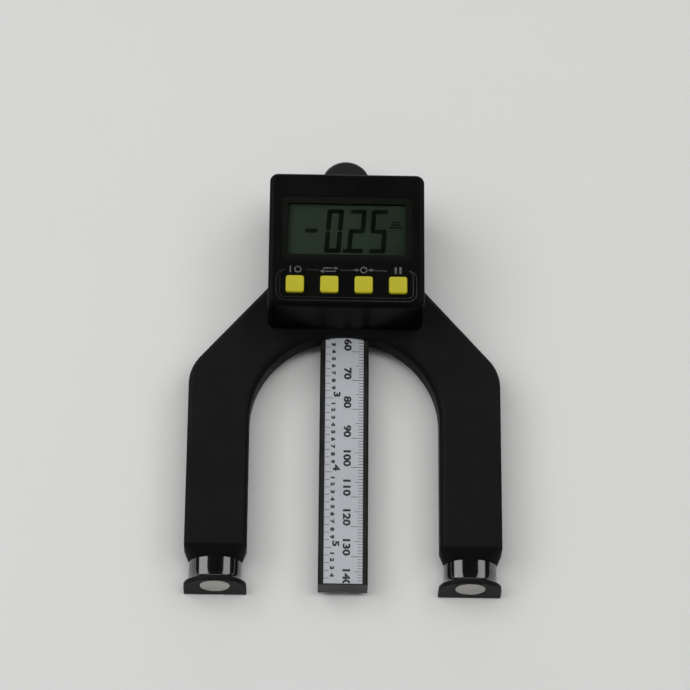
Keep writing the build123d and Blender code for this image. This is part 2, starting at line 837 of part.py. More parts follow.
def beam_bar():
    """Sliding beam: round top, chamfered edges, a seat for the strip and a groove behind."""
    half = beam_width / 2
    straight = beam_length - half
    outline = Pos(0, straight / 2) * Rectangle(beam_width, straight) + Pos(0, straight) * Circle(half)
    body = slab(outline, y_beam, y_beam_back)
    front = body.faces().sort_by(Axis.Y)[0].edges()
    front = [edge for edge in front if edge.bounding_box().size.Z > beam_rim]
    body = chamfer(front, beam_chamfer)
    seat = strip_width / 2 + strip_fit
    body -= block(-seat, seat, y_beam - overrun, y_strip + label_thick + grid_thick,
                  strip_foot - strip_fit, strip_foot + strip_length + strip_fit)
    groove = beam_groove_width / 2
    body -= block(-groove, groove, y_beam_back - beam_groove_depth, y_beam_back + overrun,
                  -overrun, straight)
    for height in (low_stop, high_stop):
        seat = y_beam_back - beam_groove_depth
        body -= bore(0, height, stop_screw_head + screw_fit, seat, y_beam_back + overrun, head_sides)
        body -= bore(0, height, stop_screw_shank + screw_fit / 2, seat - stop_screw_grip, seat + overrun)
    return body


def scale_label():
    """Silver film that carries the graduations."""
    outline = Pos(0, strip_foot + strip_length / 2) * Rectangle(strip_width, strip_length)
    return slab(outline, y_strip, y_strip + label_thick)


def grid_strip():
    """Circuit strip under the film, which the sensor reads."""
    outline = Pos(0, strip_foot + strip_length / 2) * Rectangle(strip_width, strip_length)
    return slab(outline, y_strip + label_thick, y_strip + label_thick + grid_thick)


def stop_screws():
    """Screws in the beam's groove that end its travel both ways."""
    base = screw(stop_screw_head, stop_screw_head_thick + beam_groove_depth, stop_screw_shank, stop_screw_grip)
    seat = y_beam_back - beam_groove_depth
    return [Pos(0, seat, height) * base for height in (low_stop, high_stop)]


def gib_limits():
    """Lowest and highest point of the gib between the channel's end walls."""
    return rear_arch_top + rear_wall + gib_end_gap, rear_top - rear_wall - gib_end_gap


def gib_strip():
    """Flat strip that bears on the back of the beam."""
    low, high = gib_limits()
    front = y_beam_back + gib_gap
    half = gib_width / 2
    return block(-half, half, front, front + gib_thick, low, high)


def gib_spring():
    """Bowed leaf spring that presses the gib against the beam."""
    low, high = gib_limits()
    middle = (low + high) / 2
    half = gib_spring_length / 2
    lift = gib_spring_thick / 2 + gib_gap / 2
    crest = y_beam_back + gib_gap + gib_thick + lift
    foot_y = y_rear_inside - lift
    bow = ThreePointArc((foot_y, middle - half), (crest, middle), (foot_y, middle + half))
    outline = Plane.YZ * trace(bow, line_width=gib_spring_thick)
    return extrude(outline, gib_spring_width / 2, both=True)


def case_screws():
    """Screws from inside the housing into the display case."""
    base = screw(case_screw_head, case_screw_head_thick, case_screw_shank, wall, post_sides)
    bite = post(0, 0, pilot_radius, -case_screw_grip, -wall)
    return [Pos(x, y_frame_inside, z) * (base + bite) for x, z in case_boss_places]


def frame_screws():
    """Screws that join the two halves of the housing."""
    seat = y_back - frame_screw_sunk - frame_screw_head_thick
    length = seat - y_split
    base = screw(frame_screw_head, frame_screw_head_thick, frame_screw_shank, length)
    bite = post(0, 0, pilot_radius, -length - frame_screw_bite, -length)
    return [Pos(x, seat, z) * (base + bite) for x, z in frame_screw_places]


def board_screws():
    """Screws that hold the main board on the case's posts."""
    length = board_thick + board_screw_grip / 2
    base = screw(board_screw_head, board_screw_head_thick, board_screw_shank, length, post_sides)
    return [Pos(x, y_board_back, z) * base for x, z in post_places]


def save(name, shape):
    """Write one named sub-part, from one solid or a group of separate solids."""
    if isinstance(shape, (list, tuple)):
        shape = Compound(children=[solid for piece in shape for solid in piece.solids()])
    export_step(shape, os.path.join("parts", name + ".step"))


os.makedirs("parts", exist_ok=True)

save("front_frame", front_frame())
save("rear_frame", rear_frame())
for side_name, side_x in (("left", -leg_centre), ("right", leg_centre)):
    save("foot_" + side_name, Pos(side_x, 0, 0) * foot())
    save("magnet_" + side_name, Pos(side_x, 0, 0) * magnet())
save("display_case", display_case())
save("display_window", display_window())
save("lcd_panel", lcd_panel())
save("lcd_reflector", lcd_reflector())
save("lcd_holder", lcd_holder())
save("zebra_strips", zebra_strips())
save("main_board", main_board())
save("board_parts", board_parts())
save("switch_domes", switch_domes())
for button_name, place in zip(("power", "units", "zero", "hold"), button_places):
    save("button_" + button_name, button(place[0]))
save("sensor_board", sensor_board())
save("sensor_chip", sensor_chip())
save("flex_cable", flex_cable())
save("button_cell", button_cell())
save("contact_plus", contact_plus())
save("contact_minus", contact_minus())
save("battery_door", battery_door())
save("beam_bar", beam_bar())
save("scale_label", scale_label())
save("grid_strip", grid_strip())
save("stop_screws", stop_screws())
save("gib_strip", gib_strip())
save("gib_spring", gib_spring())
save("case_screws", case_screws())
save("frame_screws", frame_screws())
save("board_screws", board_screws())
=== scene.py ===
import math

import bmesh
import bpy
from mathutils import Euler, Matrix, Vector


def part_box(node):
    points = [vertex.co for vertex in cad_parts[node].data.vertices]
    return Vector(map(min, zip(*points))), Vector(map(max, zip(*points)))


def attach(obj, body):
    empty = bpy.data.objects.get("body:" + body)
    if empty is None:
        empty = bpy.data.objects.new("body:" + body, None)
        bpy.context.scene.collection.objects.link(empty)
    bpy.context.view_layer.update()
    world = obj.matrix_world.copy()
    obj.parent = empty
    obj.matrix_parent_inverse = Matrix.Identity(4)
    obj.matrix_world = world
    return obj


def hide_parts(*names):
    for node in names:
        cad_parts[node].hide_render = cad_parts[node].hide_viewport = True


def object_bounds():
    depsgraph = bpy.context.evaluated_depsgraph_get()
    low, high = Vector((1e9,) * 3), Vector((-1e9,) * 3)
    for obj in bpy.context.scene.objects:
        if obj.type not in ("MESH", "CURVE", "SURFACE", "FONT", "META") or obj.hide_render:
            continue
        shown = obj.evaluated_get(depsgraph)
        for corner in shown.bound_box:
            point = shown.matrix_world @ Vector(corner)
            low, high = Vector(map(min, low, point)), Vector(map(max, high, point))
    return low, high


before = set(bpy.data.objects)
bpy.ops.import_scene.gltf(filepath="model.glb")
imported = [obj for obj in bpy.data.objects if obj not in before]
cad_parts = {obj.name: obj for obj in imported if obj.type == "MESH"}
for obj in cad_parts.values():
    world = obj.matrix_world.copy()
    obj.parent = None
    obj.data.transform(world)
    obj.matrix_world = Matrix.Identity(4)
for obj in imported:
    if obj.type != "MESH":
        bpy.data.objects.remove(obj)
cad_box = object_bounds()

# Looks of the digital height gauge. Metres. X is across the legs, -Y is the display side, +Z is up.
MM = 0.001

# Camera: in front of the gauge and below it, looking up at the display
CAMERA_TARGET = Vector((0, 6.6, 74)) * MM
CAMERA_OFFSET = Vector((0.1367, 7.0101, 1016.877)) * MM
CAMERA_TILT = math.radians(114.498)
CAMERA_TURN = math.radians(-0.985)
CAMERA_ROLL = math.radians(0.4635)
CAMERA_LENS = 166.02
CAMERA_SENSOR = 36
CAMERA_NEAR = 10 * MM

# Colours, as linear values
MATTE_BLACK = (0.0070, 0.0076, 0.0070, 1)
GLOSS_BLACK = (0.0032, 0.0036, 0.0034, 1)
CASE_BLACK = (0.0050, 0.0056, 0.0048, 1)
HEAD_BLACK = (0.0025, 0.0028, 0.0024, 1)
HEAD_SHADE = (0.0037, 0.0042, 0.0035, 1)
BEAM_BLACK = (0.0220, 0.0225, 0.0215, 1)
FOOT_BLACK = (0.0045, 0.0046, 0.0048, 1)
WORN_GREY = (0.030, 0.031, 0.032, 1)
DUST_GREY = (0.10, 0.097, 0.09, 1)
BUTTON_YELLOW = (0.53, 0.49, 0.022, 1)
BUTTON_SHADE = (0.46, 0.42, 0.018, 1)
STRIP_SILVER = (0.455, 0.470, 0.500, 1)
STRIP_BRIGHT = (0.512, 0.527, 0.557, 1)
INK_DARK = (0.012, 0.012, 0.016, 1)
INK_FADED = (0.045, 0.046, 0.052, 1)
LCD_GREEN = (0.0175, 0.0285, 0.0187, 1)
# Lighter green of the display: its random tone, and the painted light on its left side
LCD_LIGHT = (0.0270, 0.0420, 0.0275, 1)
SEGMENT_DARK = (0.0030, 0.0062, 0.0033, 1)
SEGMENT_FAINT = (0.0055, 0.0100, 0.0057, 1)
MASK_BLACK = (0.0034, 0.0046, 0.0032, 1)
MASK_THIN = (0.0050, 0.0064, 0.0046, 1)
PRINT_WHITE = (0.15, 0.155, 0.15, 1)
PRINT_THIN = (0.055, 0.058, 0.055, 1)
# Painted highlight on the edges of the raised line round the buttons, dim and bright
LINE_HIGHLIGHT_DIM = (0.200, 0.203, 0.204, 1)
LINE_HIGHLIGHT_BRIGHT = (0.420, 0.423, 0.426, 1)
NICKEL = (0.62, 0.60, 0.56, 1)
NICKEL_DULL = (0.40, 0.39, 0.36, 1)
MAGNET_GREY = (0.45, 0.44, 0.41, 1)
MAGNET_DULL = (0.34, 0.33, 0.31, 1)
STEEL = (0.50, 0.50, 0.49, 1)
STEEL_DARK = (0.24, 0.24, 0.235, 1)
SCREW_BLACK = (0.055, 0.055, 0.058, 1)
SCREW_WORN = (0.20, 0.195, 0.19, 1)
BOARD_GREEN = (0.008, 0.075, 0.028, 1)
BOARD_TRACK = (0.014, 0.125, 0.045, 1)
FLEX_AMBER = (0.50, 0.20, 0.035, 1)
FLEX_DARK = (0.30, 0.10, 0.020, 1)
CHIP_BLACK = (0.012, 0.012, 0.013, 1)
CHIP_GREY = (0.022, 0.022, 0.023, 1)
HOLDER_WHITE = (0.62, 0.62, 0.58, 1)
HOLDER_SHADE = (0.50, 0.50, 0.46, 1)
RUBBER_PINK = (0.40, 0.22, 0.22, 1)
RUBBER_BLACK = (0.015, 0.015, 0.015, 1)
ACETAL = (0.72, 0.71, 0.67, 1)
ACETAL_SHADE = (0.60, 0.59, 0.55, 1)
STAGE_PALE = (0.80, 0.80, 0.79, 1)
STAGE_SHADE = (0.70, 0.70, 0.69, 1)
FLAG_BLACK = (0.01, 0.01, 0.01, 1)

# Raised line round the buttons: how far it stands out, where its painted highlight starts and is full behind
# its crest, the width of that painted highlight on its edges, and where along it the painted highlight is dim
# and bright
LINE_PROUD = 0.25 * MM
LINE_FOOT = 0.22 * MM
LINE_CREST = 0.16 * MM
LINE_HIGHLIGHT_WIDTH = 0.18 * MM
LINE_HIGHLIGHT_DIM_X = -10 * MM
LINE_HIGHLIGHT_BRIGHT_X = 22 * MM

# Display glass and the rubber strip that feeds it
LCD_HALF = 19 * MM
LCD_BORDER_START = 17.0 * MM
LCD_BORDER_FULL = 19.5 * MM
ZEBRA_PITCH = 0.5 * MM

# Graduated strip: where reading 0 lies, and how far its lines and figures reach across it
STRIP_ZERO = 139.35 * MM
INK_THICK = 0.015 * MM
LINE_WIDE = 0.17 * MM
MM_SHORT = 1.55 * MM
MM_MIDDLE = 2.4 * MM
MM_LONG = 3.75 * MM
TENTH = 25.4 * MM / 10
TENTH_START = 0.2 * MM
TENTH_SHORT = 1.45 * MM
TENTH_LONG = 2.3 * MM
MM_FIGURE = {"pitch": 2.05 * MM, "height": 2.15 * MM, "base": -0.02 * MM, "lift": 0.3 * MM, "weight": 0.042}
INCH_FIGURE = {"pitch": 2.0 * MM, "height": 2.0 * MM, "base": -3.3 * MM, "lift": 0.35 * MM, "weight": 0.045}
TENTH_FIGURE = {"pitch": 1.15 * MM, "height": 1.1 * MM, "base": -3.98 * MM, "lift": 0.35 * MM,
                "weight": 0.065}

# Display figures
SEGMENT_HEIGHT = 15.5 * MM
SEGMENT_WIDTH = 5.3 * MM
SEGMENT_STROKE = 1.5 * MM
SEGMENT_GAP = 0.12 * MM
SEGMENT_THICK = 0.02 * MM
SEGMENT_SLANT = math.tan(math.radians(4.0))
SEGMENT_TIP = 0.2
DIGIT_MIDDLE = 112.2 * MM
MINUS_X = -11.3 * MM
MINUS_SHARE = 0.8
DIGIT_PLACES = ((-4.05 * MM, "abcdef"), (3.2 * MM, "abged"), (10.15 * MM, "afgcd"))
POINT_X = -0.55 * MM
POINT_SHARE = 0.9
UNIT_X = 15.7 * MM
UNIT_Z = 114.6 * MM
UNIT_PITCH = 0.95 * MM
UNIT_HALF = 1.9 * MM
UNIT_SHRINK = 0.35 * MM
UNIT_STROKE = 0.56 * MM

# Printed marks over the buttons
MARK_Z = 97.55 * MM
MARK_HEIGHT = 2.3 * MM
MARK_STROKE = 0.36 * MM
MARK_THICK = 0.02 * MM
ON_BAR_X = -1.5 * MM
OFF_RING_X = 0.9 * MM
SWAP_LIFT = 0.55 * MM
SWAP_HALF = 2.0 * MM
SWAP_ARROW_X = 2.3 * MM
ZERO_ARROW_X = 2.0 * MM
TAIL_NEAR = 2.2 * MM
TAIL_FAR = 3.3 * MM
PAUSE_BAR_X = 0.75 * MM
ARROW_SIZE = 1.25 * MM
ARROW_AHEAD = 0.55
ARROW_BEHIND = 0.45

# Black print that frames the display window: its opening, and its gap to the window's edge
MASK_OPENING = (-18.75 * MM, 18.75 * MM, 103.0 * MM, 121.1 * MM)
MASK_GAP = 0.05 * MM
MASK_CORNER = 0.95 * MM
MASK_INNER_CORNER = 0.4 * MM
CORNER_STEPS = 6

# Seam strips: they close the slot between the two housing halves along the arch
ARCH_SPRING = 54.0 * MM
ARCH_HALF = 30.0 * MM
SEAM_INNER = 0.4 * MM
SEAM_OUTER = 3.0 * MM
SEAM_THICK = 0.8 * MM
SEAM_END = 8.3 * MM
SEAM_TAPER = 11.9 * MM
SEAM_TAPER_INSET = 1.85 * MM
SEAM_TOP_X = 8.05 * MM
SEAM_STEPS = 36

# Feet: the lip round the sole, the neck above it, and the hollow sweep between them
LIP_BREAK = 0.2 * MM
LIP_TOP = 1.5 * MM
LIP_CORNER = 8.0 * MM
NECK_HALF = 8.35 * MM
NECK_SETBACK = 0.8 * MM
NECK_CORNER = 7.0 * MM
NECK_TOP = 8.0 * MM
SWEEP_RISE = 2.6 * MM
SWEEP_STEPS = 8
PLUG_WAIST = 3.5 * MM
PLUG_HALF = 4.6 * MM
PLUG_DEPTH = 3.8 * MM
PLUG_HEAD_SHARE = 0.55
POCKET_GAP = 0.05 * MM
POLISH_START = -0.15 * MM
POLISH_FULL = 0.25 * MM
LIP_ROUGHER = 0.28

# Buttons
BUTTONS = ("button_power", "button_units", "button_zero", "button_hold")
CAP_CORNER = 0.85 * MM
CAP_EDGE = 0.42 * MM
CAP_CROWN = 0.06 * MM
CAP_CROWN_SHARES = (0.8, 0.75, 0.6)
CAP_PLAY = 0.05 * MM
CAP_FLANGE = 0.35 * MM
CAP_FLANGE_THICK = 0.8 * MM
CAP_STEM = 1.2 * MM
CAP_UPRIGHT = 1.5 * MM

# Stage: backdrop and floor, and the dark bowl that the gloss mirrors
STAGE_SIZE = 6.0
FLOOR_SIZE = 1.5
STAGE_GAP = 0.3 * MM
FLAG_RADIUS = 2.2
FLAG_MOUTH = -0.25

# Lamps: azimuth and elevation in degrees, distance, width and height in metres, power in watts
FILL_LAMPS = {
    "left_light": (-38, 6, 1.2, 0.60, 1.1, 4.1),
    "right_light": (34, 6, 1.2, 0.38, 1.1, 2.3),
    "low_light": (0, -8, 1.3, 1.1, 0.35, 6.1),
}
PLAIN_LAMPS = {
    "top_light": (0, 78, 1.3, 1.2, 0.6, 3.0),
    "back_light": (180, 48, 1.4, 1.4, 0.5, 17),
}
GLOSS_CARDS = {
    "left_card": (-41, 28, 1.25, 0.95, 1.1, 9.5),
    "right_card": (37, 28, 1.25, 0.75, 1.1, 6.5),
}
AIR_LIGHT = 0.18
AIR_SHOWN = 0.8


def riding_piece(name, mesh, material, body):
    """A finished mesh as a piece of the gauge, riding on a body."""
    piece = bpy.data.objects.new(name, mesh)
    bpy.context.scene.collection.objects.link(piece)
    mesh.materials.append(material)
    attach(piece, body)
    return piece


def finished(name, work, material, body, smooth=True):
    """The mesh that a bmesh holds, turned into a piece."""
    bmesh.ops.remove_doubles(work, verts=work.verts, dist=0.0005 * MM)
    bmesh.ops.recalc_face_normals(work, faces=work.faces)
    mesh = bpy.data.meshes.new(name)
    work.to_mesh(mesh)
    work.free()
    if smooth:
        mesh.shade_smooth()
        mesh.set_sharp_from_angle(angle=math.radians(35))
    return riding_piece(name, mesh, material, body)


def plug(tree, socket, value):
    """Set an input, or link it where the value is a socket."""
    if isinstance(value, bpy.types.NodeSocket):
        tree.links.new(value, socket)
    else:
        socket.default_value = value


def node(tree, kind, settings=None, **inputs):
    """One shader node with its settings and inputs. An underscore in an input's name is a space."""
    made = tree.nodes.new("ShaderNode" + kind)
    for key, value in (settings or {}).items():
        setattr(made, key, value)
    for key, value in inputs.items():
        plug(tree, made.inputs[key.replace("_", " ")], value)
    return made


def maths(tree, operation, first, second=0.0):
    """Result of one sum on two values."""
    made = node(tree, "Math", {"operation": operation, "use_clamp": False})
    plug(tree, made.inputs[0], first)
    plug(tree, made.inputs[1], second)
    return made.outputs[0]


def spread(tree, value, low, high, to_low=0.0, to_high=1.0):
    """A value moved from one range to another and kept inside it."""
    made = node(tree, "MapRange", {"clamp": True})
    entries = (value, low, high, to_low, to_high)
    for name, entry in zip(("Value", "From Min", "From Max", "To Min", "To Max"), entries):
        plug(tree, made.inputs[name], entry)
    return made.outputs["Result"]


def tint(tree, share, first, second):
    """Colour between two colours."""
    made = node(tree, "Mix", {"data_type": "RGBA"})
    plug(tree, made.inputs[0], share)
    plug(tree, made.inputs[6], first)
    plug(tree, made.inputs[7], second)
    return made.outputs[2]


def new_group(name, inputs, outputs):
    """Empty shader group with its inputs, outputs and their default values."""
    group = bpy.data.node_groups.new(name, "ShaderNodeTree")
    for label, value in inputs:
        made = group.interface.new_socket(name=label, in_out="INPUT", socket_type="NodeSocketFloat")
        made.default_value = value
    for label, kind in outputs:
        group.interface.new_socket(name=label, in_out="OUTPUT", socket_type=kind)
    return group, group.nodes.new("NodeGroupInput").outputs, group.nodes.new("NodeGroupOutput").inputs


def soft_edge_group():
    """Rounded look and wear of the edges of moulded and pressed pieces."""
    group, given, made = new_group(
        "soft_edges", [("Radius", 0.2 * MM)], [("Normal", "NodeSocketVector"), ("Edge", "NodeSocketFloat")])
    bevel = node(group, "Bevel", {"samples": 6}, Radius=given["Radius"])
    surface = node(group, "NewGeometry")
    compare = node(group, "VectorMath", {"operation": "DOT_PRODUCT"})
    plug(group, compare.inputs[0], bevel.outputs["Normal"])
    plug(group, compare.inputs[1], surface.outputs["Normal"])
    plug(group, made["Normal"], bevel.outputs["Normal"])
    plug(group, made["Edge"], spread(group, compare.outputs["Value"], 0.995, 0.75))
    return group


def grain_group():
    """Fine texture left by the mould, and slow patches in its sheen."""
    group, given, made = new_group(
        "mould_grain", [("Grain", 2600.0), ("Patches", 70.0)],
        [("Height", "NodeSocketFloat"), ("Patch", "NodeSocketFloat")])
    place = node(group, "TexCoord").outputs["Object"]
    fine = node(group, "TexNoise", Vector=place, Scale=given["Grain"], Detail=2.0, Roughness=0.55)
    coarse_scale = maths(group, "MULTIPLY", given["Grain"], 0.37)
    coarse = node(group, "TexNoise", Vector=place, Scale=coarse_scale, Detail=1.0, Roughness=0.5)
    slow = node(group, "TexNoise", Vector=place, Scale=given["Patches"], Detail=3.0, Roughness=0.6)
    height = maths(group, "ADD", fine.outputs["Fac"], coarse.outputs["Fac"])
    plug(group, made["Height"], height)
    plug(group, made["Patch"], slow.outputs["Fac"])
    return group


def dust_group():
    """Scattered specks and a thin film of dust that gathers in patches."""
    group, given, made = new_group(
        "settled_dust", [("Specks", 420.0), ("Amount", 0.3)], [("Dust", "NodeSocketFloat")])
    place = node(group, "TexCoord").outputs["Object"]
    cells = node(group, "TexVoronoi", Vector=place, Scale=given["Specks"])
    speck = spread(group, cells.outputs["Distance"], 0.10, 0.04)
    chance = node(group, "TexWhiteNoise", Vector=cells.outputs["Position"])
    kept = maths(group, "LESS_THAN", chance.outputs["Value"], 0.16)
    cloud = node(group, "TexNoise", Vector=place, Scale=110.0, Detail=4.0, Roughness=0.65)
    film = spread(group, cloud.outputs["Fac"], 0.48, 0.80, 0.0, 0.22)
    both = maths(group, "MAXIMUM", maths(group, "MULTIPLY", speck, kept), film)
    plug(group, made["Dust"], maths(group, "MULTIPLY", both, given["Amount"]))
    return group


def scratch_group():
    """Fine straight hairlines from handling, in two directions."""
    group, given, made = new_group(
        "hairlines", [("Density", 900.0), ("Length", 14.0)], [("Line", "NodeSocketFloat")])
    place = node(group, "TexCoord").outputs["Object"]
    lines = []
    for turn in (0.35, -0.9):
        turned = node(group, "Mapping", Vector=place, Rotation=(0.2, turn, 0.1))
        parts = node(group, "SeparateXYZ", Vector=turned.outputs["Vector"])
        across = maths(group, "MULTIPLY", parts.outputs["X"], given["Density"])
        along = maths(group, "MULTIPLY", parts.outputs["Z"], given["Length"])
        deep = maths(group, "MULTIPLY", parts.outputs["Y"], given["Length"])
        point = node(group, "CombineXYZ", X=across, Y=deep, Z=along)
        streak = node(group, "TexNoise", Vector=point.outputs["Vector"], Scale=1.0, Detail=1.0)
        lines.append(spread(group, streak.outputs["Fac"], 0.70, 0.76))
    plug(group, made["Line"], maths(group, "MAXIMUM", *lines))
    return group


GROUPS = {
    "edges": soft_edge_group(),
    "grain": grain_group(),
    "dust": dust_group(),
    "hairlines": scratch_group(),
}


def use(tree, group, **inputs):
    """One of the shared groups placed in a material with its own values."""
    made = tree.nodes.new("ShaderNodeGroup")
    made.node_tree = GROUPS[group]
    for key, value in inputs.items():
        plug(tree, made.inputs[key], value)
    return made.outputs


def new_material(name):
    """Material with an empty tree, its Principled shader and output."""
    material = bpy.data.materials.new(name)
    material.use_nodes = True
    tree = material.node_tree
    tree.nodes.clear()
    shader = node(tree, "BsdfPrincipled")
    output = node(tree, "OutputMaterial")
    tree.links.new(shader.outputs["BSDF"], output.inputs["Surface"])
    return material, tree, shader


def surface_finish(name, colour, second, rough, rough_range=0.08, grain=2600.0, depth=0.006 * MM,
                   edge=0.25 * MM, worn=None, wear=0.0, dust=0.0, metal=0.0, specular=0.5,
                   hairlines=0.0):
    """Moulded, pressed or plated finish: patches, grain, soft worn edges, hairlines and dust."""
    material, tree, shader = new_material(name)
    grain_out = use(tree, "grain", Grain=grain, Patches=75.0)
    edge_out = use(tree, "edges", Radius=edge)
    patch = spread(tree, grain_out["Patch"], 0.3, 0.7)
    base = tint(tree, patch, colour, second)
    roughness = spread(tree, patch, 0.0, 1.0, rough - rough_range, rough + rough_range)
    if wear:
        rubbed = maths(tree, "MULTIPLY", edge_out["Edge"], wear)
        broken = maths(tree, "MULTIPLY", rubbed, spread(tree, grain_out["Patch"], 0.35, 0.65, 0.35, 1.0))
        base = tint(tree, broken, base, worn)
    if hairlines:
        lines = use(tree, "hairlines", Density=900.0, Length=14.0)["Line"]
        roughness = maths(tree, "ADD", roughness, maths(tree, "MULTIPLY", lines, hairlines))
    if dust:
        settled = use(tree, "dust", Specks=420.0, Amount=dust)["Dust"]
        base = tint(tree, settled, base, DUST_GREY)
        roughness = maths(tree, "ADD", roughness, maths(tree, "MULTIPLY", settled, 0.5))
    bump = node(tree, "Bump", Strength=1.0, Distance=depth, Height=grain_out["Height"],
                Normal=edge_out["Normal"])
    plug(tree, shader.inputs["Base Color"], base)
    plug(tree, shader.inputs["Roughness"], roughness)
    plug(tree, shader.inputs["Normal"], bump.outputs["Normal"])
    shader.inputs["Metallic"].default_value = metal
    shader.inputs["Specular IOR Level"].default_value = specular
    return material, tree, shader


def case_finish():
    """Glossier black of the display case, with a painted highlight in grey on the edges of its raised line,
    brighter to the right.
    """
    material, tree, shader = surface_finish(
        "case_black", HEAD_BLACK, HEAD_SHADE, 0.34, 0.05, 3000.0, 0.0015 * MM, 0.30 * MM,
        WORN_GREY, 0.20, 0.02, specular=0.035, hairlines=0.10)
    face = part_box("display_case")[0].y
    place = node(tree, "TexCoord").outputs["Object"]
    parts = node(tree, "SeparateXYZ", Vector=place)
    raised = spread(tree, parts.outputs["Y"], face + LINE_FOOT, face + LINE_CREST)
    # Painted highlight: the raised line's edges turn grey, dim to the left and brighter to the right, in
    # place of the light they catch
    rubbed = maths(tree, "MULTIPLY", raised, use(tree, "edges", Radius=LINE_HIGHLIGHT_WIDTH)["Edge"])
    side = spread(tree, parts.outputs["X"], LINE_HIGHLIGHT_DIM_X, LINE_HIGHLIGHT_BRIGHT_X)
    line = tint(tree, side, LINE_HIGHLIGHT_DIM, LINE_HIGHLIGHT_BRIGHT)
    old = shader.inputs["Base Color"].links[0].from_socket
    plug(tree, shader.inputs["Base Color"], tint(tree, rubbed, old, line))
    return material


def foot_finish():
    """Polished black of the feet, rubbed matte on the lip and the sole."""
    material, tree, shader = surface_finish(
        "foot_black", FOOT_BLACK, GLOSS_BLACK, 0.26, 0.04, 1500.0, 0.0008 * MM, 0.15 * MM,
        WORN_GREY, 0.35, 0.08, specular=0.12, hairlines=0.12)
    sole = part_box("foot_left")[0].z
    parts = node(tree, "SeparateXYZ", Vector=node(tree, "TexCoord").outputs["Object"])
    lip = sole + LIP_TOP
    polished = spread(tree, parts.outputs["Z"], lip + POLISH_START, lip + POLISH_FULL)
    old = shader.inputs["Roughness"].links[0].from_socket
    rubbed = spread(tree, polished, 0.0, 1.0, LIP_ROUGHER, 0.0)
    plug(tree, shader.inputs["Roughness"], maths(tree, "ADD", old, rubbed))
    plug(tree, shader.inputs["Coat Weight"], polished)
    shader.inputs["Coat IOR"].default_value = 1.8
    shader.inputs["Coat Roughness"].default_value = 0.09
    return material


def window_finish():
    """Clear acrylic of the display window."""
    material, tree, shader = new_material("clear_window")
    lines = use(tree, "hairlines", Density=700.0, Length=9.0)["Line"]
    plug(tree, shader.inputs["Roughness"], spread(tree, lines, 0.0, 1.0, 0.02, 0.10))
    shader.inputs["Base Color"].default_value = (0.96, 0.97, 0.96, 1)
    shader.inputs["Transmission Weight"].default_value = 1.0
    shader.inputs["IOR"].default_value = 1.07
    return material


def display_finish():
    """Unlit liquid crystal: dark grey-green, with painted light that makes it lighter to the left, and darker
    at both ends.
    """
    material, tree, shader = new_material("display_green")
    place = node(tree, "TexCoord").outputs["Object"]
    parts = node(tree, "SeparateXYZ", Vector=place)
    slow = node(tree, "TexNoise", Vector=place, Scale=45.0, Detail=3.0)
    fine = node(tree, "TexNoise", Vector=place, Scale=1800.0, Detail=2.0)
    share = spread(tree, slow.outputs["Fac"], 0.35, 0.65, 0.1, 0.6)
    share = maths(tree, "ADD", share, spread(tree, fine.outputs["Fac"], 0.3, 0.7, 0.0, 0.3))
    # Painted light: the tone falls from lighter on the left to darker on the right
    across = spread(tree, parts.outputs["X"], -LCD_HALF, LCD_HALF, 0.35, -0.35)
    share = maths(tree, "ADD", share, across)
    base = tint(tree, share, LCD_GREEN, LCD_LIGHT)
    reach = maths(tree, "ABSOLUTE", parts.outputs["X"])
    border = spread(tree, reach, LCD_BORDER_START, LCD_BORDER_FULL, 0.0, 0.6)
    plug(tree, shader.inputs["Base Color"], tint(tree, border, base, SEGMENT_FAINT))
    plug(tree, shader.inputs["Roughness"], spread(tree, fine.outputs["Fac"], 0.3, 0.7, 0.52, 0.62))
    shader.inputs["Specular IOR Level"].default_value = 0.08
    return material


def print_finish(name, colour, faded, rough, threshold=0.62, specular=0.3):
    """Screen-printed ink, worn thin in places."""
    material, tree, shader = new_material(name)
    place = node(tree, "TexCoord").outputs["Object"]
    fine = node(tree, "TexNoise", Vector=place, Scale=3200.0, Detail=3.0, Roughness=0.7)
    slow = node(tree, "TexNoise", Vector=place, Scale=240.0, Detail=2.0)
    both = maths(tree, "MULTIPLY", maths(tree, "ADD", fine.outputs["Fac"], slow.outputs["Fac"]), 0.5)
    thin = spread(tree, both, threshold - 0.14, threshold)
    plug(tree, shader.inputs["Base Color"], tint(tree, thin, colour, faded))
    roughness = spread(tree, fine.outputs["Fac"], 0.3, 0.7, rough - 0.08, rough + 0.08)
    plug(tree, shader.inputs["Roughness"], roughness)
    shader.inputs["Specular IOR Level"].default_value = specular
    return material


def strip_finish():
    """Silver film of the graduated strip: a brushed, slightly uneven satin."""
    material, tree, shader = new_material("strip_silver")
    place = node(tree, "TexCoord").outputs["Object"]
    stretched = node(tree, "Mapping", Vector=place, Scale=(4200.0, 300.0, 60.0))
    brush = node(tree, "TexNoise", Vector=stretched.outputs["Vector"], Scale=1.0, Detail=3.0, Roughness=0.6)
    slow = node(tree, "TexNoise", Vector=place, Scale=60.0, Detail=2.0)
    share = maths(tree, "ADD", spread(tree, brush.outputs["Fac"], 0.35, 0.65, 0.0, 0.5),
                  spread(tree, slow.outputs["Fac"], 0.3, 0.7, 0.0, 0.5))
    base = tint(tree, share, STRIP_SILVER, STRIP_BRIGHT)
    dust = use(tree, "dust", Specks=500.0, Amount=0.35)["Dust"]
    plug(tree, shader.inputs["Base Color"], tint(tree, dust, base, DUST_GREY))
    plug(tree, shader.inputs["Roughness"], spread(tree, brush.outputs["Fac"], 0.3, 0.7, 0.40, 0.52))
    bump = node(tree, "Bump", Strength=1.0, Distance=0.0015 * MM, Height=brush.outputs["Fac"])
    plug(tree, shader.inputs["Normal"], bump.outputs["Normal"])
    shader.inputs["Metallic"].default_value = 0.05
    shader.inputs["Specular IOR Level"].default_value = 0.20
    return material


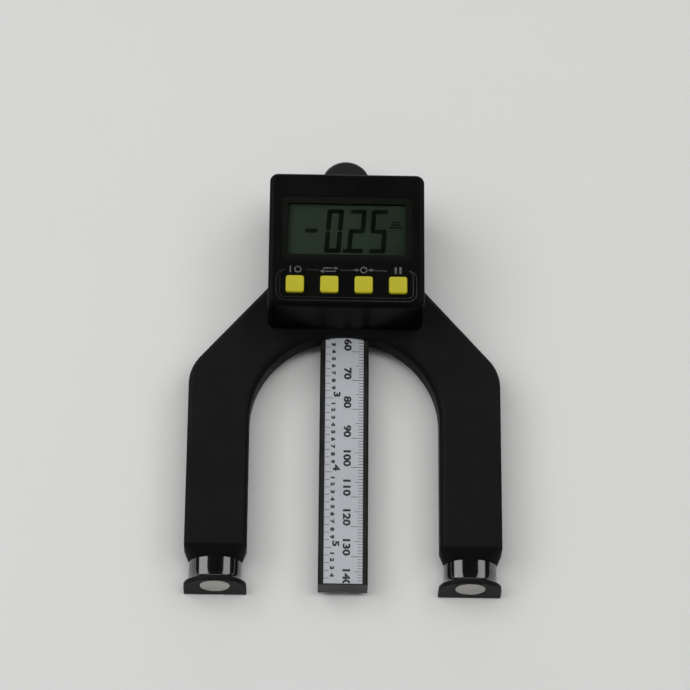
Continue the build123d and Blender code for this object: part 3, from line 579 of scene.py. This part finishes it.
def board_finish():
    """Solder mask over copper tracks."""
    material, tree, shader = new_material("board_green")
    place = node(tree, "TexCoord").outputs["Object"]
    tracks = node(tree, "TexVoronoi", {"distance": "MANHATTAN", "feature": "F1"}, Vector=place, Scale=420.0)
    raised = spread(tree, tracks.outputs["Distance"], 0.30, 0.36)
    plug(tree, shader.inputs["Base Color"], tint(tree, raised, BOARD_TRACK, BOARD_GREEN))
    plug(tree, shader.inputs["Roughness"], spread(tree, raised, 0.0, 1.0, 0.30, 0.42))
    bump = node(tree, "Bump", {"invert": True}, Strength=1.0, Distance=0.02 * MM, Height=raised)
    plug(tree, shader.inputs["Normal"], bump.outputs["Normal"])
    return material


def zebra_finish():
    """Rubber strip with fine dark layers across it."""
    material, tree, shader = new_material("zebra_rubber")
    place = node(tree, "TexCoord").outputs["Object"]
    parts = node(tree, "SeparateXYZ", Vector=place)
    wave = maths(tree, "SINE", maths(tree, "MULTIPLY", parts.outputs["X"], math.tau / ZEBRA_PITCH))
    layer = spread(tree, wave, -0.2, 0.2)
    plug(tree, shader.inputs["Base Color"], tint(tree, layer, RUBBER_PINK, RUBBER_BLACK))
    shader.inputs["Roughness"].default_value = 0.7
    return material


def plain_finish(*arguments, **named):
    """The material alone of a surface finish."""
    return surface_finish(*arguments, **named)[0]


housing_black = plain_finish(
    "housing_black", MATTE_BLACK, CASE_BLACK, 0.54, 0.05, 2400.0, 0.007 * MM, 0.30 * MM,
    WORN_GREY, 0.35, 0.05, specular=0.06, hairlines=0.10)
case_black = case_finish()
foot_black = foot_finish()
beam_black = plain_finish(
    "beam_black", BEAM_BLACK, GLOSS_BLACK, 0.38, 0.06, 2000.0, 0.002 * MM, 0.12 * MM,
    WORN_GREY, 0.7, 0.10, specular=0.2, hairlines=0.15)
button_yellow = plain_finish(
    "button_yellow", BUTTON_YELLOW, BUTTON_SHADE, 0.46, 0.06, 2800.0, 0.003 * MM, 0.15 * MM,
    dust=0.05, specular=0.2)
door_black = plain_finish(
    "door_black", MATTE_BLACK, CASE_BLACK, 0.50, 0.05, 2400.0, 0.006 * MM, 0.20 * MM,
    WORN_GREY, 0.4, 0.12, specular=0.2, hairlines=0.12)
magnet_nickel = plain_finish(
    "magnet_nickel", MAGNET_GREY, MAGNET_DULL, 0.22, 0.08, 900.0, 0.001 * MM, 0.12 * MM,
    metal=1.0, hairlines=0.15)
screw_black = plain_finish(
    "screw_black", SCREW_BLACK, BEAM_BLACK, 0.36, 0.08, 2500.0, 0.003 * MM, 0.08 * MM,
    SCREW_WORN, 0.8, 0.1, metal=1.0)
spring_steel = plain_finish(
    "spring_steel", STEEL, STEEL_DARK, 0.30, 0.06, 1800.0, 0.002 * MM, 0.05 * MM, metal=1.0)
cell_steel = plain_finish(
    "cell_steel", STEEL, NICKEL_DULL, 0.24, 0.06, 900.0, 0.001 * MM, 0.12 * MM, metal=1.0)
contact_nickel = plain_finish(
    "contact_nickel", NICKEL, STEEL_DARK, 0.28, 0.05, 1500.0, 0.001 * MM, 0.05 * MM, metal=1.0)
dome_steel = plain_finish(
    "dome_steel", STEEL, NICKEL, 0.18, 0.04, 1500.0, 0.001 * MM, 0.05 * MM, metal=1.0)
chip_black = plain_finish(
    "chip_black", CHIP_BLACK, CHIP_GREY, 0.55, 0.08, 3500.0, 0.006 * MM, 0.08 * MM)
flex_amber = plain_finish(
    "flex_amber", FLEX_AMBER, FLEX_DARK, 0.34, 0.05, 1200.0, 0.001 * MM, 0.05 * MM)
holder_white = plain_finish(
    "holder_white", HOLDER_WHITE, HOLDER_SHADE, 0.48, 0.06, 2400.0, 0.004 * MM, 0.12 * MM, dust=0.2)
reflector_foil = plain_finish(
    "reflector_foil", NICKEL, STEEL, 0.40, 0.05, 3000.0, 0.002 * MM, 0.05 * MM, metal=1.0)
gib_acetal = plain_finish(
    "gib_acetal", ACETAL, ACETAL_SHADE, 0.38, 0.05, 1800.0, 0.002 * MM, 0.08 * MM)
clear_window = window_finish()
display_green = display_finish()
strip_silver = strip_finish()
strip_ink = print_finish("strip_ink", INK_DARK, INK_FADED, 0.55)
segment_ink = print_finish("display_segments", SEGMENT_DARK, SEGMENT_FAINT, 0.6, specular=0.05)
mark_ink = print_finish("printed_marks", PRINT_WHITE, PRINT_THIN, 0.5, 0.56)
mask_ink = print_finish("window_mask", MASK_BLACK, MASK_THIN, 0.45, specular=0.05)
board_green = board_finish()
zebra_rubber = zebra_finish()

NODE_FINISHES = (
    (housing_black, ("front_frame", "rear_frame")),
    (foot_black, ("foot_left", "foot_right")),
    (magnet_nickel, ("magnet_left", "magnet_right")),
    (case_black, ("display_case",)),
    (clear_window, ("display_window",)),
    (display_green, ("lcd_panel",)),
    (reflector_foil, ("lcd_reflector",)),
    (holder_white, ("lcd_holder",)),
    (zebra_rubber, ("zebra_strips",)),
    (board_green, ("main_board", "sensor_board", "grid_strip")),
    (chip_black, ("board_parts", "sensor_chip")),
    (dome_steel, ("switch_domes",)),
    (button_yellow, BUTTONS),
    (flex_amber, ("flex_cable",)),
    (cell_steel, ("button_cell",)),
    (contact_nickel, ("contact_plus", "contact_minus")),
    (door_black, ("battery_door",)),
    (beam_black, ("beam_bar",)),
    (strip_silver, ("scale_label",)),
    (gib_acetal, ("gib_strip",)),
    (spring_steel, ("gib_spring", "board_screws")),
    (screw_black, ("stop_screws", "case_screws", "frame_screws")),
)
for finish, node_names in NODE_FINISHES:
    for node_name in node_names:
        for material_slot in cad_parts[node_name].material_slots:
            material_slot.material = finish


def add_block(work, x_low, x_high, y_low, y_high, z_low, z_high):
    """Closed block between two limits on each axis."""
    middle = Vector((x_low + x_high, y_low + y_high, z_low + z_high)) / 2
    size = Vector((x_high - x_low, y_high - y_low, z_high - z_low))
    made = bmesh.ops.create_cube(work, size=1.0)["verts"]
    bmesh.ops.scale(work, verts=made, vec=size)
    bmesh.ops.translate(work, verts=made, vec=middle)


def plain_figures(text, weight):
    """Figures of size 1 in the plain built-in type, one unit thick, with strokes made heavier by a weight."""
    words = bpy.data.curves.new("figures", "FONT")
    words.body = text
    words.resolution_u = 3
    words.offset = weight
    words.extrude = 0.5
    holder = bpy.data.objects.new("figures", words)
    bpy.context.scene.collection.objects.link(holder)
    bpy.context.view_layer.update()
    mesh = bpy.data.meshes.new_from_object(holder.evaluated_get(bpy.context.evaluated_depsgraph_get()))
    bpy.data.objects.remove(holder)
    bpy.data.curves.remove(words)
    return mesh


def reach_of(mesh, axis):
    """Lowest and highest place of a mesh on one axis."""
    places = [vertex.co[axis] for vertex in mesh.vertices]
    return min(places), max(places)


def line_heights(pitch):
    """Heights of the strip's lines at one pitch, from nought down to its end."""
    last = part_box("scale_label")[0].z + LINE_WIDE
    heights = []
    while STRIP_ZERO - len(heights) * pitch > last:
        heights.append(STRIP_ZERO - len(heights) * pitch)
    return heights


def strip_graduations():
    """Millimetre lines at the strip's right edge and tenths of an inch at its left."""
    low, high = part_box("scale_label")
    front = low.y - INK_THICK
    work = bmesh.new()
    for reading, z in enumerate(line_heights(MM)):
        reach = MM_LONG if reading % 10 == 0 else MM_MIDDLE if reading % 5 == 0 else MM_SHORT
        if z + LINE_WIDE < high.z:
            add_block(work, high.x - reach, high.x, front, low.y, z - LINE_WIDE / 2, z + LINE_WIDE / 2)
    start = low.x + TENTH_START
    for tenth, z in enumerate(line_heights(TENTH)):
        reach = TENTH_LONG if tenth % 10 == 0 else TENTH_SHORT
        add_block(work, start, start + reach, front, low.y, z - LINE_WIDE / 2, z + LINE_WIDE / 2)
    finished("strip_graduations", work, strip_ink, "beam", smooth=False)


def strip_figures():
    """Figures beside the lines, turned so that they read down the strip."""
    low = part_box("scale_label")[0]
    turn = Matrix(((0, 1, 0), (0, 0, -1), (-1, 0, 0))).to_4x4()
    nought, pair = plain_figures("0", 0.0), plain_figures("00", 0.0)
    advance = reach_of(pair, 0)[1] - reach_of(nought, 0)[1]
    tall = reach_of(nought, 1)[1]
    for mesh in (nought, pair):
        bpy.data.meshes.remove(mesh)
    work = bmesh.new()

    def write(text, style, line):
        """Figures that end just above their line."""
        mesh = plain_figures(text, style["weight"])
        size = Matrix.Diagonal((style["pitch"] / advance, style["height"] / tall, INK_THICK, 1))
        corner = Matrix.Translation((style["base"], low.y - INK_THICK / 2, line + style["lift"]))
        mesh.transform(corner @ turn @ size @ Matrix.Translation((-reach_of(mesh, 0)[1], 0, 0)))
        work.from_mesh(mesh)
        bpy.data.meshes.remove(mesh)

    last = int((STRIP_ZERO - low.z) / MM / 10) + 1
    for step in range(1, last + 1):
        write(str(step * 10), MM_FIGURE, STRIP_ZERO - step * 10 * MM)
    for tenth, line in enumerate(line_heights(TENTH)[1:], 1):
        if tenth % 10:
            write(str(tenth % 10), TENTH_FIGURE, line)
        else:
            write(str(tenth // 10), INCH_FIGURE, line)
    whole = [*work.verts, *work.edges, *work.faces]
    cut = bmesh.ops.bisect_plane(work, geom=whole, dist=0, plane_co=(0, 0, low.z + LINE_WIDE),
                                 plane_no=(0, 0, -1), clear_outer=True)
    rims = [edge for edge in cut["geom_cut"] if isinstance(edge, bmesh.types.BMEdge)]
    bmesh.ops.holes_fill(work, edges=rims, sides=0)
    finished("strip_figures", work, strip_ink, "beam", smooth=False)


def display_segments():
    """Dark segments of the display's reading, its minus bar, point and unit bars."""
    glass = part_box("lcd_panel")[0].y
    front = glass - SEGMENT_THICK
    half_w = SEGMENT_WIDTH / 2
    half_h = SEGMENT_HEIGHT / 2
    stroke = SEGMENT_STROKE
    work = bmesh.new()

    def segment(x, z, length, upright):
        """Bar with pointed ends, leaning with the figures."""
        reach, side, slim = length / 2, stroke / 2, stroke * SEGMENT_TIP
        shoulder = reach - side + slim
        outline = [(reach, slim), (shoulder, side), (-shoulder, side), (-reach, slim),
                   (-reach, -slim), (-shoulder, -side), (shoulder, -side), (reach, -slim)]
        corners = [(across, along) if upright else (along, across) for along, across in outline]
        face = work.faces.new([
            work.verts.new((x + px + SEGMENT_SLANT * (z + pz), front, DIGIT_MIDDLE + z + pz))
            for px, pz in corners])
        raised = bmesh.ops.extrude_face_region(work, geom=[face])["geom"]
        backs = [part for part in raised if isinstance(part, bmesh.types.BMVert)]
        bmesh.ops.translate(work, verts=backs, vec=(0, SEGMENT_THICK, 0))

    flat = SEGMENT_WIDTH - 2 * SEGMENT_GAP
    tall = half_h - 2 * SEGMENT_GAP
    shapes = {
        "a": (0, half_h - stroke / 2, flat, False),
        "d": (0, -half_h + stroke / 2, flat, False),
        "g": (0, 0, flat, False),
        "b": (half_w - stroke / 2, half_h / 2, tall, True),
        "f": (-half_w + stroke / 2, half_h / 2, tall, True),
        "c": (half_w - stroke / 2, -half_h / 2, tall, True),
        "e": (-half_w + stroke / 2, -half_h / 2, tall, True),
    }
    for place, lit in DIGIT_PLACES:
        for letter in lit:
            x, z, length, upright = shapes[letter]
            segment(place + x, z, length, upright)
    segment(MINUS_X, 0, flat * MINUS_SHARE, False)
    low = DIGIT_MIDDLE - half_h
    point = stroke * POINT_SHARE
    add_block(work, POINT_X - point / 2, POINT_X + point / 2, front, glass, low, low + point)
    for step in range(3):
        z = UNIT_Z + (step - 1) * UNIT_PITCH
        half = UNIT_HALF - UNIT_SHRINK * step
        add_block(work, UNIT_X - half, UNIT_X + half, front, glass, z - UNIT_STROKE / 2, z + UNIT_STROKE / 2)
    finished("display_segments", work, segment_ink, "housing", smooth=False)


def add_ring(work, x, z, radius, stroke, y_low, y_high):
    """Flat closed ring round a point."""
    inner = radius - stroke
    corners = [(radius, y_low), (radius, y_high), (inner, y_high), (inner, y_low)]
    points = [work.verts.new((x + r, y, z)) for r, y in corners]
    rim = [work.edges.new((points[i], points[(i + 1) % 4])) for i in range(4)]
    bmesh.ops.spin(work, geom=[*points, *rim], cent=(x, 0, z), axis=(0, 1, 0), angle=math.tau,
                   steps=32, use_merge=True)


def add_arrow(work, x, z, size, direction, y_low, y_high):
    """Flat triangle that points left or right."""
    tip, tail = x + direction * size * ARROW_AHEAD, x - direction * size * ARROW_BEHIND
    points = [(tip, z), (tail, z + size / 2), (tail, z - size / 2)]
    face = work.faces.new([work.verts.new((px, y_low, pz)) for px, pz in points])
    raised = bmesh.ops.extrude_face_region(work, geom=[face])["geom"]
    tops = [v for v in raised if isinstance(v, bmesh.types.BMVert)]
    bmesh.ops.translate(work, verts=tops, vec=(0, y_high - y_low, 0))


def printed_marks():
    """Plain marks printed over the buttons: on and off, change over, to nought, and pause."""
    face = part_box("display_case")[0].y + LINE_PROUD
    front = face - MARK_THICK
    half = MARK_HEIGHT / 2
    stroke = MARK_STROKE
    work = bmesh.new()
    places = [sum(corner.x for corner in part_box(name)) / 2
              for name in BUTTONS]

    bar = places[0] + ON_BAR_X
    add_block(work, bar - stroke / 2, bar + stroke / 2, front, face, MARK_Z - half, MARK_Z + half)
    add_ring(work, places[0] + OFF_RING_X, MARK_Z, half, stroke, front, face)

    x = places[1]
    for side in (-1, 1):
        z = MARK_Z + side * SWAP_LIFT
        add_block(work, x - SWAP_HALF, x + SWAP_HALF, front, face, z - stroke / 2, z + stroke / 2)
        add_arrow(work, x + side * SWAP_ARROW_X, z, ARROW_SIZE, side, front, face)

    x = places[2]
    add_ring(work, x, MARK_Z, half, stroke, front, face)
    for side in (-1, 1):
        near, far = x + side * TAIL_NEAR, x + side * TAIL_FAR
        add_block(work, min(near, far), max(near, far), front, face, MARK_Z - stroke / 2, MARK_Z + stroke / 2)
        add_arrow(work, x + side * ZERO_ARROW_X, MARK_Z, ARROW_SIZE, -side, front, face)

    for side in (-1, 1):
        bar = places[3] + side * PAUSE_BAR_X
        add_block(work, bar - stroke, bar + stroke, front, face, MARK_Z - half, MARK_Z + half)
    finished("printed_marks", work, mark_ink, "housing", smooth=False)


def button_cap(node_name):
    """Square push button: flange, rounded cap with a low crown, and its stem behind."""
    low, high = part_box(node_name)
    middle_x = (low.x + high.x) / 2
    middle_z = (low.z + high.z) / 2
    case_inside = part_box("lcd_panel")[0].y
    flange_front = case_inside + CAP_PLAY
    flange_back = flange_front + CAP_FLANGE_THICK
    half = (high.x - low.x) / 2
    work = bmesh.new()
    add_block(work, -half, half, flange_front, flange_back, -half, half)
    front = min(work.faces, key=lambda face: face.calc_center_median().y)
    bmesh.ops.inset_region(work, faces=[front], thickness=CAP_FLANGE)
    made = bmesh.ops.extrude_face_region(work, geom=[front])["geom"]
    tops = [v for v in made if isinstance(v, bmesh.types.BMVert)]
    bmesh.ops.translate(work, verts=tops, vec=(0, low.y + CAP_CROWN - flange_front, 0))
    bmesh.ops.delete(work, geom=[front], context="FACES_ONLY")
    uprights = [edge for edge in work.edges
                if abs(edge.verts[0].co.y - edge.verts[1].co.y) > CAP_UPRIGHT]
    bmesh.ops.bevel(work, geom=uprights, offset=CAP_CORNER, offset_type="OFFSET", segments=6, profile=0.5,
                    affect="EDGES", material=-1, clamp_overlap=True)
    rim = [edge for edge in work.edges
           if all(v.co.y < low.y + CAP_CROWN + 0.01 * MM for v in edge.verts)]
    bmesh.ops.bevel(work, geom=rim, offset=CAP_EDGE, offset_type="OFFSET", segments=5, profile=0.5,
                    affect="EDGES", material=-1, clamp_overlap=True)
    crown = min(work.faces, key=lambda face: face.calc_center_median().y)
    for share in CAP_CROWN_SHARES:
        made = bmesh.ops.extrude_face_region(work, geom=[crown])["geom"]
        bmesh.ops.delete(work, geom=[crown], context="FACES_ONLY")
        crown = next(part for part in made if isinstance(part, bmesh.types.BMFace))
        bmesh.ops.scale(work, verts=crown.verts[:], vec=(share, 1, share))
        bmesh.ops.translate(work, verts=crown.verts[:], vec=(0, -CAP_CROWN / 3, 0))
    back = max(work.faces, key=lambda face: face.calc_center_median().y)
    bmesh.ops.inset_region(work, faces=[back], thickness=half - CAP_STEM)
    made = bmesh.ops.extrude_face_region(work, geom=[back])["geom"]
    ends = [v for v in made if isinstance(v, bmesh.types.BMVert)]
    bmesh.ops.translate(work, verts=ends, vec=(0, high.y - flange_back, 0))
    bmesh.ops.delete(work, geom=[back], context="FACES_ONLY")
    bmesh.ops.translate(work, verts=work.verts, vec=(middle_x, 0, middle_z))
    name = node_name.replace("button_", "")
    cap = finished("cap_" + name, work, button_yellow, name + "_key")
    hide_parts(node_name)


def foot_ring(work, half, y_low, y_high, corner, z):
    """Edges of a foot's outline at one height: rounded at the display side, square behind."""
    before = set(work.faces)
    corners = [(-half, y_low), (half, y_low), (half, y_high), (-half, y_high)]
    face = work.faces.new([work.verts.new((x, y, z)) for x, y in corners])
    front = [vertex for vertex in face.verts if vertex.co.y < (y_low + y_high) / 2]
    bmesh.ops.bevel(work, geom=front, offset=corner, offset_type="OFFSET", segments=12, profile=0.5,
                    affect="VERTICES", material=-1, clamp_overlap=True)
    made = [face for face in work.faces if face not in before]
    edges = list({edge for face in made for edge in face.edges})
    bmesh.ops.delete(work, geom=made, context="FACES_ONLY")
    return edges


def foot(side_name):
    """Magnet holder: lip, hollow sweep, round-fronted neck, and the plug that holds it in the leg."""
    low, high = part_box("foot_" + side_name)
    magnet_low, magnet_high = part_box("magnet_" + side_name)
    middle = (low.x + high.x) / 2
    half = (high.x - low.x) / 2
    steps = [(LIP_BREAK, 0.0), (0, LIP_BREAK), (0, LIP_TOP - LIP_BREAK), (LIP_BREAK, LIP_TOP)]
    work = bmesh.new()
    rings = [foot_ring(work, half - inset, low.y + inset, high.y - inset, LIP_CORNER - inset, low.z + z)
             for inset, z in steps]
    side_sweep = half - LIP_BREAK - NECK_HALF
    front_sweep = NECK_SETBACK - LIP_BREAK
    for step in range(1, SWEEP_STEPS + 1):
        turn = math.radians(90) * step / SWEEP_STEPS
        left = 1 - math.sin(turn)
        corner = NECK_CORNER + (LIP_CORNER - LIP_BREAK - NECK_CORNER) * left
        inset = NECK_SETBACK - front_sweep * left
        rings.append(foot_ring(work, NECK_HALF + side_sweep * left, low.y + inset, high.y - inset, corner,
                               low.z + LIP_TOP + SWEEP_RISE * (1 - math.cos(turn))))
    rings.append(foot_ring(work, NECK_HALF, low.y + NECK_SETBACK, high.y - NECK_SETBACK, NECK_CORNER,
                           low.z + NECK_TOP))
    for lower, upper in zip(rings, rings[1:]):
        bmesh.ops.bridge_loops(work, edges=[*lower, *upper])
    bmesh.ops.contextual_create(work, geom=rings[-1])
    radius = (magnet_high.x - magnet_low.x) / 2 + POCKET_GAP
    centre = (magnet_low + magnet_high) / 2
    place = Matrix.Translation((0, centre.y, low.z))
    circle = bmesh.ops.create_circle(work, cap_ends=False, segments=48, radius=radius, matrix=place)["verts"]
    rim = list({edge for vertex in circle for edge in vertex.link_edges})
    bmesh.ops.triangle_fill(work, use_beauty=True, edges=[*rings[0], *rim], normal=(0, 0, -1))
    raised = bmesh.ops.extrude_edge_only(work, edges=rim)["geom"]
    tops = [part for part in raised if isinstance(part, bmesh.types.BMVert)]
    bmesh.ops.translate(work, verts=tops, vec=(0, 0, magnet_high.z + POCKET_GAP - low.z))
    bmesh.ops.contextual_create(work, geom=[part for part in raised if isinstance(part, bmesh.types.BMEdge)
                                            and all(vertex in tops for vertex in part.verts)])
    plug_low, plug_high = centre.y - PLUG_DEPTH, centre.y + PLUG_DEPTH
    head_low = high.z - (high.z - low.z - NECK_TOP) * PLUG_HEAD_SHARE
    add_block(work, -PLUG_WAIST, PLUG_WAIST, plug_low, plug_high, low.z + NECK_TOP, head_low)
    add_block(work, -PLUG_HALF, PLUG_HALF, plug_low, plug_high, head_low, high.z)
    bmesh.ops.translate(work, verts=work.verts, vec=(middle, 0, 0))
    piece = finished("magnet_foot_" + side_name, work, foot_black, "housing")
    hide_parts("foot_" + side_name)


def rounded_loop(work, x_low, x_high, z_low, z_high, corner, y):
    """Closed loop of edges: an upright rectangle with rounded corners."""
    points = []
    for quarter, (x, z) in enumerate(((x_high - corner, z_high - corner), (x_low + corner, z_high - corner),
                                      (x_low + corner, z_low + corner), (x_high - corner, z_low + corner))):
        for step in range(CORNER_STEPS + 1):
            turn = math.radians(90) * (quarter + step / CORNER_STEPS)
            points.append(work.verts.new((x + corner * math.cos(turn), y, z + corner * math.sin(turn))))
    return [work.edges.new((points[i], points[(i + 1) % len(points)])) for i in range(len(points))]


def window_mask():
    """Black print on the front of the display window, with the display's opening."""
    low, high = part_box("display_window")
    work = bmesh.new()
    outer = rounded_loop(work, low.x + MASK_GAP, high.x - MASK_GAP, low.z + MASK_GAP, high.z - MASK_GAP,
                         MASK_CORNER, low.y)
    inner = rounded_loop(work, *MASK_OPENING, MASK_INNER_CORNER, low.y)
    flat = bmesh.ops.bridge_loops(work, edges=[*outer, *inner])["faces"]
    raised = bmesh.ops.extrude_face_region(work, geom=flat)["geom"]
    fronts = [part for part in raised if isinstance(part, bmesh.types.BMVert)]
    bmesh.ops.translate(work, verts=fronts, vec=(0, -MARK_THICK, 0))
    finished("window_mask", work, mask_ink, "housing", smooth=False)


def seam_strips():
    """Pair of strips on the joint of the two housing halves, from each leg's end to the beam's channel."""
    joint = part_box("front_frame")[1].y
    near, far = ARCH_HALF + SEAM_INNER, ARCH_HALF + SEAM_OUTER
    work = bmesh.new()
    for side in (-1, 1):
        outline = [(far, SEAM_END), (ARCH_HALF + SEAM_TAPER_INSET, SEAM_END), (near, SEAM_TAPER)]
        for radius, order in ((near, 1), (far, -1)):
            last = math.acos(SEAM_TOP_X / radius)
            turns = [last * step / SEAM_STEPS for step in range(SEAM_STEPS + 1)][::order]
            outline += [(radius * math.cos(turn), ARCH_SPRING + radius * math.sin(turn)) for turn in turns]
        face = work.faces.new([work.verts.new((side * x, joint, z)) for x, z in outline])
        raised = bmesh.ops.extrude_face_region(work, geom=[face])["geom"]
        backs = [part for part in raised if isinstance(part, bmesh.types.BMVert)]
        bmesh.ops.translate(work, verts=backs, vec=(0, SEAM_THICK, 0))
    finished("seam_strips", work, housing_black, "housing")


for foot_side in ("left", "right"):
    foot(foot_side)
seam_strips()
window_mask()
strip_graduations()
strip_figures()
display_segments()
printed_marks()
for button_name in BUTTONS:
    button_cap(button_name)


def one_sided(name, colour):
    """Pale matte stage surface that only shows from its front."""
    material = bpy.data.materials.new(name)
    material.use_nodes = True
    tree = material.node_tree
    tree.nodes.clear()
    back = node(tree, "NewGeometry").outputs["Backfacing"]
    grain = node(tree, "TexNoise", Vector=node(tree, "TexCoord").outputs["Object"], Scale=30.0, Detail=3.0)
    shade = tint(tree, spread(tree, grain.outputs["Fac"], 0.3, 0.7, 0.0, 0.04), colour, STAGE_SHADE)
    matte = node(tree, "BsdfDiffuse", Color=shade)
    clear = node(tree, "BsdfTransparent")
    either = node(tree, "MixShader")
    plug(tree, either.inputs[0], back)
    plug(tree, either.inputs[1], matte.outputs["BSDF"])
    plug(tree, either.inputs[2], clear.outputs["BSDF"])
    output = node(tree, "OutputMaterial")
    tree.links.new(either.outputs["Shader"], output.inputs["Surface"])
    return material


def stage_sheet(name, material, size, turn, place):
    """Large flat sheet that isn't part of the gauge."""
    work = bmesh.new()
    bmesh.ops.create_grid(work, x_segments=1, y_segments=1, size=size / 2)
    bmesh.ops.transform(work, matrix=Matrix.Translation(place) @ turn.to_4x4(), verts=work.verts)
    mesh = bpy.data.meshes.new(name)
    work.to_mesh(mesh)
    work.free()
    sheet = bpy.data.objects.new(name, mesh)
    bpy.context.scene.collection.objects.link(sheet)
    mesh.materials.append(material)
    return sheet


stage_pale = one_sided("stage_pale", STAGE_PALE)
upright = Euler((math.radians(90), 0, 0)).to_matrix()
backdrop = stage_sheet("backdrop", stage_pale, STAGE_SIZE, upright, (0, cad_box[1].y + STAGE_GAP, 0))
backdrop.visible_shadow = False
backdrop.visible_diffuse = False
floor = stage_sheet("floor", stage_pale, FLOOR_SIZE, Matrix.Identity(3), (0, 0, cad_box[0].z - STAGE_GAP))
floor.visible_shadow = False
floor.visible_diffuse = False
floor.visible_glossy = False
floor.visible_transmission = False


def black_flag():
    """Dark bowl in front, seen only in reflections, so that the gloss black stays deep."""
    work = bmesh.new()
    bmesh.ops.create_uvsphere(work, u_segments=32, v_segments=16, radius=FLAG_RADIUS)
    whole = [*work.verts, *work.edges, *work.faces]
    bmesh.ops.bisect_plane(work, geom=whole, dist=0, plane_co=(0, FLAG_MOUTH, 0), plane_no=(0, 1, 0),
                           clear_outer=True)
    mesh = bpy.data.meshes.new("black_flag")
    work.to_mesh(mesh)
    work.free()
    flag = bpy.data.objects.new("black_flag", mesh)
    bpy.context.scene.collection.objects.link(flag)
    cloth = bpy.data.materials.new("flag_cloth")
    cloth.use_nodes = True
    shader = cloth.node_tree.nodes["Principled BSDF"]
    shader.inputs["Base Color"].default_value = FLAG_BLACK
    shader.inputs["Roughness"].default_value = 1.0
    shader.inputs["Specular IOR Level"].default_value = 0.0
    mesh.materials.append(cloth)
    flag.visible_camera = False
    flag.visible_diffuse = False
    flag.visible_shadow = False


black_flag()


def soft_light(name, azimuth, elevation, distance, width, height, power):
    """Rectangular lamp aimed at the middle of the gauge. Azimuth 0 is in front, and 90 is to the right."""
    turn, rise = math.radians(azimuth), math.radians(elevation)
    away = Vector((math.sin(turn) * math.cos(rise), -math.cos(turn) * math.cos(rise), math.sin(rise)))
    lamp = bpy.data.lights.new(name, "AREA")
    lamp.shape = "RECTANGLE"
    lamp.size = width
    lamp.size_y = height
    lamp.energy = power
    holder = bpy.data.objects.new(name, lamp)
    bpy.context.scene.collection.objects.link(holder)
    holder.location = CAMERA_TARGET + away * distance
    holder.rotation_euler = away.to_track_quat("Z", "Y").to_euler()
    return holder


# Fill lamps aren't mirrored in the gloss, and the cards are seen only there
for lamp_name, setting in FILL_LAMPS.items():
    soft_light(lamp_name, *setting).visible_glossy = False
for lamp_name, setting in PLAIN_LAMPS.items():
    soft_light(lamp_name, *setting)
for lamp_name, setting in GLOSS_CARDS.items():
    card = soft_light(lamp_name, *setting)
    card.visible_diffuse = False
    card.visible_transmission = False

world = bpy.data.worlds.new("studio")
bpy.context.scene.world = world
world.use_nodes = True
sky = world.node_tree
sky.nodes.clear()
paths = node(sky, "LightPath").outputs
mirrored = maths(sky, "MAXIMUM", paths["Is Glossy Ray"], paths["Is Transmission Ray"])
shown = maths(sky, "MAXIMUM", paths["Is Camera Ray"], mirrored)
level = spread(sky, shown, 0.0, 1.0, AIR_LIGHT, AIR_SHOWN)
air = node(sky, "Background", Color=(1, 1, 1, 1), Strength=level)
sky.links.new(air.outputs["Background"], node(sky, "OutputWorld").inputs["Surface"])

camera_data = bpy.data.cameras.new("camera")
camera_data.lens = CAMERA_LENS
camera_data.sensor_width = CAMERA_SENSOR
camera_data.clip_start = CAMERA_NEAR
camera = bpy.data.objects.new("camera", camera_data)
bpy.context.scene.collection.objects.link(camera)
aim = (Matrix.Rotation(CAMERA_TURN, 3, "Z") @ Matrix.Rotation(CAMERA_TILT, 3, "X")
       @ Matrix.Rotation(CAMERA_ROLL, 3, "Z"))
camera.matrix_world = Matrix.Translation(CAMERA_TARGET + aim @ CAMERA_OFFSET) @ aim.to_4x4()
bpy.context.scene.camera = camera
bpy.context.scene.view_settings.view_transform = "Standard"
